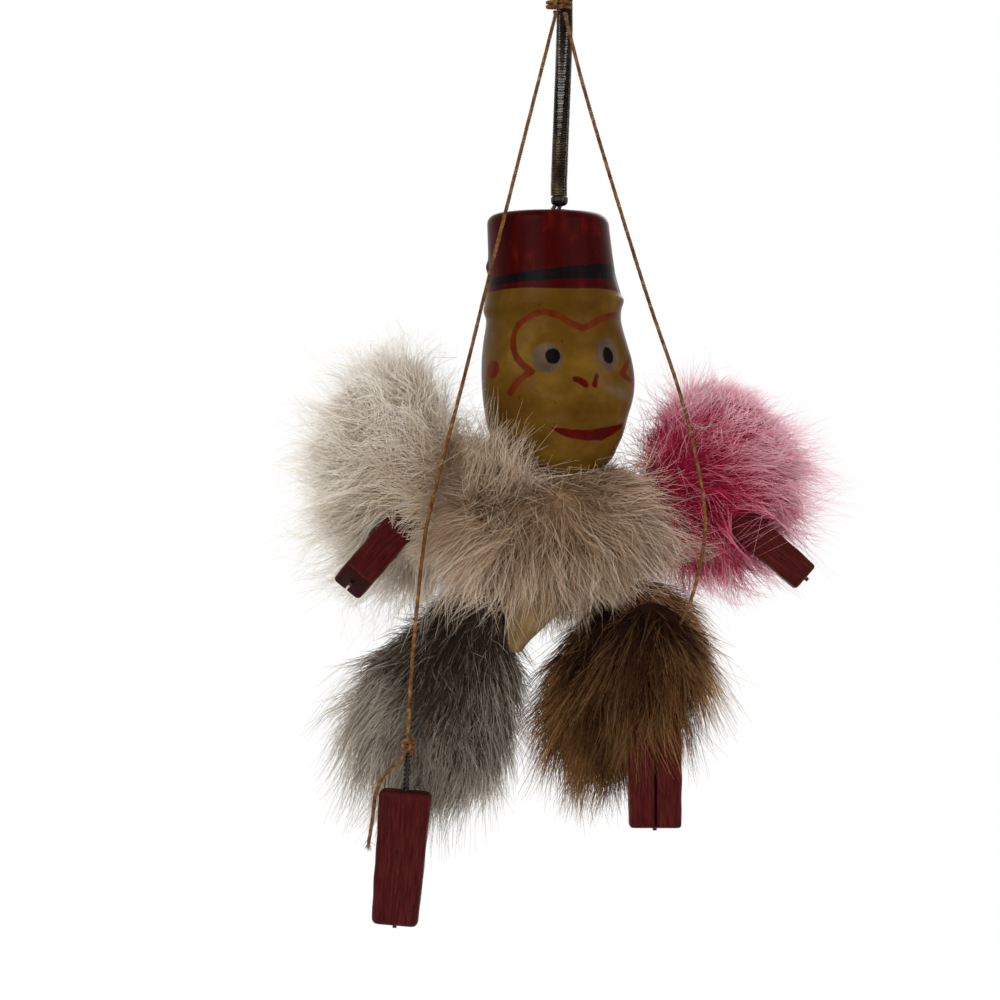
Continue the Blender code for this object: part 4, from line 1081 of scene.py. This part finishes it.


# The pelts, in millimetres. A tuft is a direction, its extra length and narrowness. A patch is a place, its
# size and extra length. A plane is a point and a normal. The colours are a hair's root, middle and tip, and
# the odd hairs' tip. The shade core is the centre and radii of painted shade: the colours are darkest there
# and lighten out to painted light at the pelt's edge.
pelts = {
    "leftArm": {
        "body": "left_arm", "slot": "white_fur", "replaces": "left_arm_pelt",
        "centre": (-29.3, 4.0, -96.3), "radii": (14.2, 10.8, 18.3), "fanFrom": (-19.5, 4.0, -101.5),
        "stand": 0.14, "reach": 11.5,
        "tufts": [
            ((0.05, 0, 1), 11.0, 9), ((-1, 0, 0.25), 1.5, 3), ((-0.5, 0, -1), 6.0, 4),
            ((0.3, 0, -1), 4.0, 5),
        ],
        "colours": [(176, 154, 128), (207, 191, 169), (242, 235, 224), (251, 248, 242)],
        "hide": [(150, 130, 104), (176, 156, 128)],
        "partFrom": (-27.4, 1.2, -104.2), "partTo": (-38.9, -16.3, -117.8), "frontLimit": -9.2,
        "seed": 11, "shadeCore": ((-24, -2, -104), (22, 22, 24)), "spread": 0.75, "curl": 0.9,
        "planes": [((-17.1, 0, -103.3), (0.906, 0, 0.423)), ((-17.3, 0, -102.2), (0.985, 0, -0.174))],
        "partRadius": 4.6,
    },
    "rightArm": {
        "body": "right_arm", "slot": "pink_fur", "replaces": "right_arm_pelt",
        "centre": (29.3, 4.0, -97.8), "radii": (14.4, 10.8, 16.0), "fanFrom": (16.5, 4.0, -100.0),
        "stand": 0.16, "reach": 11.0,
        "tufts": [((1, 0, 0.1), 2.0, 3), ((-0.15, 0, -1), 7.0, 6), ((-0.2, 0, 1), 6.0, 6)],
        "colours": [(150, 18, 52), (192, 48, 86), (248, 206, 216), (252, 232, 236)],
        "hide": [(130, 16, 46), (164, 34, 68)],
        "partFrom": (36.0, -3.9, -108.0), "partTo": (46.6, -4.7, -117.4), "frontLimit": -17.0,
        "seed": 23, "shadeCore": ((22, -4, -105), (24, 34, 22)), "spread": 0.7, "curl": 0.9,
        "patches": [
            ((37, 0, -84), (11, 14, 9), -7.0), ((17, 0, -92), (6, 10, 8), 5.0),
            ((25, -8, -92), (8, 8, 9), 2.0),
        ],
        "planes": [((15.1, 0, -103.5), (-0.906, 0, 0.423)), ((14.9, 0, -102.0), (-0.966, 0, -0.259))],
        "partRadius": 4.6, "sweep": (-0.12, 0, 0),
    },
    "trunk": {
        "body": "figure", "slot": "white_fur", "replaces": "torso_pelt",
        "centre": (-1.2, 1.0, -110.6), "radii": (11.5, 8.8, 11.8), "taper": -0.35,
        "fanFrom": (-1.2, 6.0, -104.0), "fanDepth": 0.1, "stand": 0.2, "sweep": (0, 0, -0.12),
        "reach": 12.5,
        "tufts": [
            ((0, 0, -1), -5.5, 3), ((0, 0, 1), -5.0, 3), ((-1, 0, -0.5), 5.0, 5), ((1, 0, -0.5), 3.0, 5),
            ((-1, 0, 0.6), 2.0, 6), ((1, 0, 0.6), 2.0, 6),
        ],
        # The trunk's white fur and hide are given darker colours than the arm's white fur: painted shade.
        "colours": [(122, 92, 68), (152, 122, 95), (196, 170, 144), (232, 214, 192)],
        "hide": [(122, 96, 68), (152, 124, 94)],
        "frontLimit": -13.0, "seed": 37, "shadeCore": ((-2, -4, -106), (26, 26, 22)), "spread": 0.55,
        "curl": 0.7, "leftFrontLimit": -9.2, "leftChange": -16.5,
    },
    "leftLeg": {
        "body": "left_leg", "slot": "grey_fur", "replaces": "left_leg_pelt",
        "centre": (-21.0, 0.2, -137.0), "radii": (13.5, 7.6, 19.5), "taper": 0.4, "lean": 24.0,
        "fanFrom": (-12.6, 0.2, -112.0), "stand": 0.12, "sweep": (-0.06, 0, -0.08), "reach": 11.5,
        "tufts": [((-0.95, 0, -0.75), 4.0, 5), ((-0.1, 0, -1), 1.0, 3)],
        "patches": [((-13, 0, -119), (10, 12, 6), -3.0)],
        "colours": [(40, 30, 21), (66, 51, 38), (172, 160, 144), (222, 215, 204)],
        "hide": [(32, 24, 17), (48, 37, 28)],
        "partFrom": (-28.9, -10.0, -146.5), "partTo": (-29.3, -10.2, -160.0), "frontLimit": -9.3,
        "lowFrontLimit": -6.6, "changeHeight": -152.0, "seed": 41,
        "shadeCore": ((-21, -4, -127), (18, 18, 32)), "curl": 0.35, "spread": 0.3, "partRadius": 1.6,
    },
    "rightLeg": {
        "body": "right_leg", "slot": "brown_fur", "replaces": "right_leg_pelt",
        "centre": (10.5, 0.0, -134.5), "radii": (9.5, 7.0, 17.0), "taper": 0.4, "lean": 9.0,
        "fanFrom": (11.0, 0.0, -108.0), "stand": 0.14, "sweep": (-0.16, 0, -0.1), "reach": 9.0,
        "tufts": [((-0.4, 0, -1), 6.0, 10)],
        "patches": [((21, 0, -141), (8, 14, 11), -7.0), ((26, -1, -124), (9, 14, 12), -6.5)],
        "colours": [(20, 5, 2), (38, 15, 5), (120, 82, 44), (172, 132, 80)],
        "hide": [(20, 7, 3), (38, 18, 8)],
        "frontLimit": -9.3, "lowFrontLimit": -6.8, "changeHeight": -146.0, "seed": 59,
        "shadeCore": ((14, -4, -121), (22, 22, 40)),
    },
    "rightFlap": {
        "body": "right_leg", "slot": "brown_fur", "centre": (18.5, -4.0, -125.5),
        "radii": (4.4, 4.4, 8.5), "lean": -32.0, "fanFrom": (12.0, -3.0, -114.0), "stand": 0.06,
        "sweep": (0.12, 0, -0.1), "reach": 10.0,
        "tufts": [((0.6, 0, -0.8), 7.5, 12)],
        "colours": [(56, 24, 9), (128, 84, 48), (204, 168, 122), (236, 208, 164)],
        "hide": [(20, 7, 3), (38, 18, 8)],
        "frontLimit": -10.0, "hairs": 0.35, "seed": 71, "shadeCore": ((14, -4, -124), (18, 18, 22)),
        "patches": [((27, -4, -119), (10, 12, 10), -7.5)],
    },
    "footApron": {
        "body": "right_leg", "slot": "brown_fur", "centre": (17.0, -9.5, -130.0),
        "radii": (6.5, 4.8, 8.0), "fanFrom": (16.0, -6.0, -112.0), "fanDepth": 0.35, "stand": 0.05,
        "sweep": (-0.02, -0.1, -0.4), "reach": 18.0,
        "colours": [(24, 6, 2), (46, 19, 7), (124, 86, 48), (168, 130, 82)],
        "hide": [(20, 7, 3), (38, 18, 8)],
        "frontLimit": -17.5, "hairs": 0.45, "seed": 83, "shadeCore": ((14, -6, -121), (22, 22, 40)),
    },
    "collar": {
        "body": "figure", "slot": "white_fur", "centre": (-1.5, -4.5, -106.0),
        "radii": (19.0, 6.0, 8.5), "fanFrom": (-1.0, -2.0, -102.0), "fanDepth": 0.1, "stand": 0.22,
        "sweep": (0, -0.05, -0.05), "reach": 12.0,
        "tufts": [
            ((-1, 0, 0.4), 3.0, 3), ((1, 0, 0.8), 6.5, 6), ((-1, 0, -0.6), 4.0, 5), ((1, 0, -0.6), 3.0, 5),
            ((0, 0, 1), -5.5, 8),
        ],
        # The collar's white fur and hide are darker than the arm's white fur: painted shade.
        "colours": [(132, 103, 79), (166, 136, 108), (214, 191, 167), (243, 229, 212)],
        "hide": [(122, 96, 68), (152, 124, 94)],
        "shadeCore": ((-2, -8, -106), (24, 24, 20)), "frontLimit": -16.0, "hairs": 0.7, "spread": 0.6,
        "curl": 0.8, "seed": 97, "leftFrontLimit": -9.2, "leftChange": -16.5,
    },
    "shoulderTuft": {
        "body": "figure", "slot": "white_fur", "centre": (-13.6, -6.6, -102.0),
        "radii": (4.3, 3.3, 5.3), "fanFrom": (-13.0, -2.0, -114.0), "stand": 0.1,
        "sweep": (-0.1, -0.35, 0.4), "reach": 18.5,
        # The shoulder tuft's white fur and hide are darker than the arm's white fur: painted shade.
        "colours": [(134, 106, 82), (164, 136, 109), (210, 190, 166), (241, 228, 211)],
        "hide": [(126, 100, 73), (154, 128, 98)],
        "shadeCore": ((-16, -6, -106), (22, 22, 22)), "frontLimit": -19.0, "hairs": 0.45, "spread": 0.6,
        "curl": 0.8, "seed": 103, "leftFrontLimit": -9.2, "leftChange": -16.5,
    },
}

locksPerPelt = 420
layers = {  # hairs on a pelt, and what differs from the tree's own settings
    "Underfur": {
        "hairs": 7800,
        "Root Width": 0.16 * mm,
        "Points": 3, "Length": 0.55, "Shortest": 0.3, "Spread": 0.8, "Curl": 0.45,
        "Lock Pull": 0.3,
    },
    "Hair": {
        "hairs": 6800,
        "Root Width": 0.114 * mm,
        "Points": 4, "Shortest": 0.5, "Spread": 0.3,
        "Lock Spread": 0.35,
        "Curl": 0.3,
    },
}


# The trunk's bare hide hangs between the legs: a closed leaf, curved round the trunk.
def tongueMesh(outline, depth, thick, steps=14):
    columns = len(outline)
    verts, faces = [], []
    for side in (-1, 1):
        for left, right, height, front in outline:
            for step in range(steps + 1):
                share = step / steps
                x = left + (right - left) * share
                arch = math.sin(math.pi * share)
                verts.append((x, front - depth * arch + side * thick * 0.5 * (0.25 + 0.75 * arch), height))
    row = steps + 1
    far = columns * row
    for column in range(columns - 1):
        for step in range(steps):
            a = column * row + step
            faces.append((a, a + row, a + row + 1, a + 1))
            faces.append((far + a, far + a + 1, far + a + row + 1, far + a + row))
    rim = [c * row for c in range(columns)]
    rim += [(columns - 1) * row + step for step in range(1, row)]
    rim += [c * row + steps for c in reversed(range(columns - 1))]
    rim += [step for step in reversed(range(1, steps))]
    for a, b in zip(rim, rim[1:] + rim[:1]):
        faces.append((a, far + a, far + b, b))
    return meshFrom("trunkTongue", verts, faces)


tongue = {
    "outline": [  # left, right, height and front of each level
        (-11.0, 9.0, -116.0, -2.0), (-11.0, 6.5, -119.0, -2.4), (-10.8, 3.0, -121.5, -2.8),
        (-10.6, 0.0, -124.0, -3.1), (-10.3, -3.2, -127.0, -3.4), (-10.0, -5.8, -129.5, -3.6),
        (-9.7, -7.4, -131.5, -3.8),
    ],
    "depth": 2.0,
    "thick": 1.2,
    "hide": [(104, 82, 52), (136, 112, 78)],
}


def makeTongue():
    mesh = tongueMesh(tongue["outline"], tongue["depth"], tongue["thick"])
    mesh.transform(Matrix.Scale(mm, 4))
    mesh.shade_smooth()
    material = hideMaterial("tan hide", *tongue["hide"])
    addPiece("trunkTongue", mesh, material, "figure", "white_fur")


def makeFur():
    tree = furTree()
    for name, pelt in pelts.items():
        centre = pelt["centre"]
        scalp = eggMesh(name + "Scalp", centre, pelt["radii"], pelt.get("taper", 0.0), pelt.get("lean", 0.0))
        press(scalp, Vector(centre), pelt.get("planes", []))
        places = np.array([v.co for v in scalp.vertices])
        normals = np.array([v.normal for v in scalp.vertices])
        lie, reach = comb(pelt, places, normals)
        scalp.transform(Matrix.Scale(mm, 4))
        storeNumbers(scalp, "comb", lie, "FLOAT_VECTOR")
        storeNumbers(scalp, "reach", reach * mm)
        area = sum(face.area for face in scalp.polygons)
        material = furMaterial(pelt["slot"].replace("_", " ") + " of " + name, pelt)
        hide = scalp.copy()
        for attribute in ("comb", "reach"):
            hide.attributes.remove(hide.attributes[attribute])
        hide.shade_smooth()
        replaced = [pelt["replaces"]] if "replaces" in pelt else []
        skin = hideMaterial(name + " hide", *pelt["hide"])
        addPiece(name + "Hide", hide, skin, pelt["body"], pelt["slot"], *replaced)
        for layer, settings in layers.items():
            source = link(name + layer + "Scalp", scalp.copy())
            values = {
                "Density": settings["hairs"] * pelt.get("hairs", 1.0) / area,
                "Lock Density": locksPerPelt / area,
                "Seed": pelt["seed"] + (3 if layer == "Hair" else 0),
                "Front Limit": pelt["frontLimit"] * mm,
                "Low Front Limit": pelt.get("lowFrontLimit", pelt["frontLimit"]) * mm,
                "Limit Change Height": pelt.get("changeHeight", -1000) * mm,
                "Left Front Limit": pelt.get("leftFrontLimit", -1000) * mm,
                "Left Change": pelt.get("leftChange", -1000) * mm,
                "Material": material,
                **settings,
            }
            if layer == "Hair" and "spread" in pelt:
                values.update({"Spread": pelt["spread"], "Curl": pelt["curl"]})
            if "partFrom" in pelt:
                values["Part From"] = tuple(Vector(pelt["partFrom"]) * mm)
                values["Part To"] = tuple(Vector(pelt["partTo"]) * mm)
                values["Part Radius"] = pelt["partRadius"] * mm
            fur = bake(source, tree, values, name + layer)
            print("  ", name + layer, len(fur.polygons))
            addPiece(name + layer, fur, None, pelt["body"], pelt["slot"])


makeTongue()
makeFur()


print("Hands and feet")
sticks = {  # place of the inner end, direction, in millimetres; size is width, thickness, length
    "leftHand": {
        "start": (-27.4, 1.2, -104.2), "direction": (-0.46, -0.70, -0.545),
        "size": (6.2, 6.4, 25.0), "grooveSide": -1, "round": 0.7, "taper": 0.0, "node": "left_hand",
        "body": "left_arm",
    },
    "rightHand": {
        "start": (27.8, -3.2, -101.0), "direction": (0.752, -0.06, -0.655),
        "size": (6.2, 6.4, 25.0), "grooveSide": -1, "round": 0.7, "taper": 0.06,
        "node": "right_hand", "body": "right_arm",
    },
    "leftFoot": {
        "start": (-29.1, -10.2, -157.2), "direction": (-0.083, 0.0, -1.0), "size": (9.8, 6.2, 25.2),
        "grooveSide": 1, "round": 1.1, "taper": 0.11, "node": "left_foot", "body": "left_leg",
    },
    "rightFoot": {
        "start": (17.7, -10.2, -138.8), "direction": (0.0, 0.0, -1.0), "size": (9.8, 6.2, 25.2),
        "grooveSide": -1, "round": 0.6, "taper": 0.0, "node": "right_foot", "body": "right_leg",
    },
}
stickFinish = {"grooveWidth": 0.5, "grooveInner": -1.6, "unevenness": 0.16, "rings": 60}


# A stick's section: a rectangle with rounded corners and the groove for its wire, anticlockwise.
def stickSection(width, thickness, rounding, grooveSide):
    corners = []
    for sideX, sideY, start in ((1, 1, 0), (-1, 1, 90), (-1, -1, 180), (1, -1, 270)):
        centre = (sideX * (width / 2 - rounding), sideY * (thickness / 2 - rounding))
        for step in range(6):
            angle = math.radians(start + 18 * step)
            corners.append((centre[0] + rounding * math.cos(angle), centre[1] + rounding * math.sin(angle)))
    half, lip, floor = stickFinish["grooveWidth"] / 2, thickness / 2, stickFinish["grooveInner"]
    groove = [(half + 0.15, lip), (half, lip - 0.15), (half, -floor)]
    groove += [(-x, y) for x, y in reversed(groove)]
    section = corners[:6] + groove + corners[6:]
    if grooveSide < 0:
        section = [(-x, -y) for x, y in section]
    full = []
    for (ax, ay), (bx, by) in zip(section, section[1:] + section[:1]):
        count = max(1, round(math.hypot(bx - ax, by - ay) / 0.5))
        full += [(ax + (bx - ax) * k / count, ay + (by - ay) * k / count) for k in range(count)]
    return full


def stickMesh(name, stick):
    width, thickness, length = stick["size"]
    rounding = stick["round"]
    section = np.array(stickSection(width, thickness, rounding, stick["grooveSide"]))
    stops = [length / 2 - rounding * (1 - math.sin(math.radians(a))) for a in (0, 22, 45, 68, 90)]
    insets = [rounding * (1 - math.cos(math.radians(a))) for a in (0, 22, 45, 68, 90)]
    middle = np.linspace(-stops[0], stops[0], stickFinish["rings"])
    levels = [(-z, inset) for z, inset in zip(reversed(stops[1:]), reversed(insets[1:]))]
    levels += [(z, 0.0) for z in middle] + list(zip(stops[1:], insets[1:]))
    verts = []
    for z, inset in levels:
        shrink = 1 - inset / np.array([width / 2, thickness / 2])
        verts += [(x, y, z) for x, y in section * shrink]
    count = len(section)
    faces = []
    for ring in range(0, (len(levels) - 1) * count, count):
        for here in range(count):
            after = (here + 1) % count
            faces.append((ring + here, ring + after, ring + count + after, ring + count + here))
    faces.append(tuple(reversed(range(count))))
    faces.append(tuple(range((len(levels) - 1) * count, len(levels) * count)))
    mesh = meshFrom(name, verts, faces)
    places = np.array(verts)
    fromEdge = (np.array(stick["size"]) / 2 - np.abs(places)).T
    nearest = np.sort(fromEdge, axis=0)
    for vert in mesh.vertices:
        wave = math.sin(vert.co.z * 0.43 + vert.co.x * 0.6) + math.sin(vert.co.z * 1.1 + 2 + vert.co.y)
        narrowing = stick["taper"] * (0.5 - vert.co.z / length)
        vert.co.x *= 1 + stickFinish["unevenness"] * wave / 2 / width - narrowing
        wave = math.sin(vert.co.z * 0.61 + 1 + vert.co.x * 0.5)
        vert.co.y *= 1 + stickFinish["unevenness"] * wave / thickness
    direction = Vector(stick["direction"]).normalized()
    hint = Vector((direction.z, 0, -direction.x)) if "Hand" in name else Vector((1, 0, 0))
    along = -direction
    thick = along.cross(hint).normalized()
    across = thick.cross(along).normalized()
    turn = Matrix((across, thick, along)).transposed().to_4x4()
    middlePlace = Vector(stick["start"]) + direction * length / 2
    mesh.transform(Matrix.Scale(mm, 4) @ Matrix.Translation(middlePlace) @ turn)
    storeNumbers(mesh, "edge", nearest[1])  # how far the second nearest face is, so 0 at an edge
    storeNumbers(mesh, "end", fromEdge[2])
    storeNumbers(mesh, "grain", places * (1, 1, 0.1), "FLOAT_VECTOR")
    mesh.shade_smooth()
    mesh.set_sharp_from_angle(angle=math.radians(50))
    return mesh


# Old red paint on sawn wood: brushed along the grain, dark where it gathered and worn to the wood at corners.
def redWoodMaterial():
    material, tree = newMaterial("red painted wood", 0.42, Specular_IOR_Level=0.04)
    place = stored(tree, "grain", "Vector")

    def streaks(scale, detail, roughness):
        inputs = {"Vector": place, "Scale": scale, "Detail": detail, "Roughness": roughness}
        return out(tree, "ShaderNodeTexNoise", inputs, "Fac")

    grain, fibres = streaks(2.2, 5.0, 0.62), streaks(7.0, 4.0, 0.7)
    worn = stored(tree, "edge") + (fibres - 0.5) * 1.5
    coats = [  # how much of it shows, and its colour
        (fibres.span(0.56, 0.74, 0.0, 0.4), (34, 6, 8)),
        (worn.span(0.05, 0.3, 0.7, 0.0), (98, 50, 40)),
        (stored(tree, "end").span(0.0, 0.35, 0.75, 0.0), (30, 5, 5)),
        (noise(tree, 700.0, 2.0).span(0.68, 0.74, 0.0, 0.7), (28, 8, 8)),
    ]
    colour = ramp(tree, grain, (0.3, 44, 6, 6), (0.5, 58, 14, 13), (0.75, 78, 28, 24))
    for share, coat in coats:
        colour = mixColour(tree, share, colour, coat)
    return coated(material, colour, fibres + grain, 0.14 * mm, 0.45)


def makeSticks():
    material = redWoodMaterial()
    for name, stick in sticks.items():
        addPiece(name, stickMesh(name, stick), material, stick["body"], "red_wood", stick["node"])


makeSticks()


print("Wood inside")


def plainWoodMaterial():
    material, tree = newMaterial("turned plain wood", 0.65, Specular_IOR_Level=0.3)
    rings = noise(tree, 900.0, 4.0, (1, 1, 0.15))
    colour = ramp(tree, rings, (0.3, 150, 112, 70), (0.55, 178, 140, 94), (0.8, 196, 162, 116))
    return coated(material, colour, rings, 0.1 * mm, 0.5)


dress(plainWoodMaterial(), "head_stop", "neck_plug")


print("Floor and light")
stageSizes = {"floorHeight": -0.26, "half": 3.0}


def makeFloor():
    half, height = stageSizes["half"], stageSizes["floorHeight"]
    corners = [(x * half, y * half, height) for x, y in ((-1, -1), (1, -1), (1, 1), (-1, 1))]
    material, tree = newMaterial("pale floor", 0.8)
    coated(material, ramp(tree, noise(tree, 8.0, 2.0), (0.3, 238, 238, 237), (0.7, 246, 246, 245)))
    seen = out(tree, "ShaderNodeLightPath", output="Is Camera Ray")
    glow = put(tree, "ShaderNodeEmission", {"Color": (1, 1, 1, 1), "Strength": 1.0})
    mixed = put(tree, "ShaderNodeMixShader", {0: seen, 1: tree.nodes["Principled BSDF"], 2: glow})
    tree.links.new(mixed.outputs[0], tree.nodes["Material Output"].inputs["Surface"])
    floor = link("floor", meshFrom("floor", corners, [(0, 1, 2, 3)]))
    floor.data.materials.append(material)


def makeWorld():
    world = bpy.data.worlds.new("studio")
    bpy.context.scene.world = world
    world.use_nodes = True
    tree = world.node_tree
    background = tree.nodes["Background"]
    background.inputs["Color"].default_value = (1, 1, 1, 1)
    path = put(tree, "ShaderNodeLightPath")
    seen = Flow(tree, path.outputs["Is Camera Ray"])
    for ray in ("Is Glossy Ray", "Is Transmission Ray"):
        seen = seen.math("MAXIMUM", path.outputs[ray])
    tree.links.new(seen.span(0.0, 1.0, lights["world"], 1.0).socket, background.inputs["Strength"])


lights = {
    "world": 0.62,
    "lamps": [  # place, aim, size, watts
        ((-0.5, -0.75, 0.35), (0, 0, -0.1), 0.6, 5.0),
        ((0.6, -0.6, 0.1), (0, 0, -0.1), 0.7, 2.6),
        ((0.1, 0.7, 0.4), (0, 0, -0.1), 0.7, 5.0),
    ],
}


def makeLamps():
    for index, (place, aim, size, watts) in enumerate(lights["lamps"]):
        data = bpy.data.lights.new(f"softbox{index}", "AREA")
        data.size = size
        data.energy = watts
        lamp = link(f"softbox{index}", data)
        lamp.location = place
        lamp.rotation_euler = (Vector(aim) - Vector(place)).to_track_quat("-Z", "Y").to_euler()


makeFloor()
makeWorld()
makeLamps()
bpy.context.scene.view_settings.view_transform = "Standard"

print("Finish")
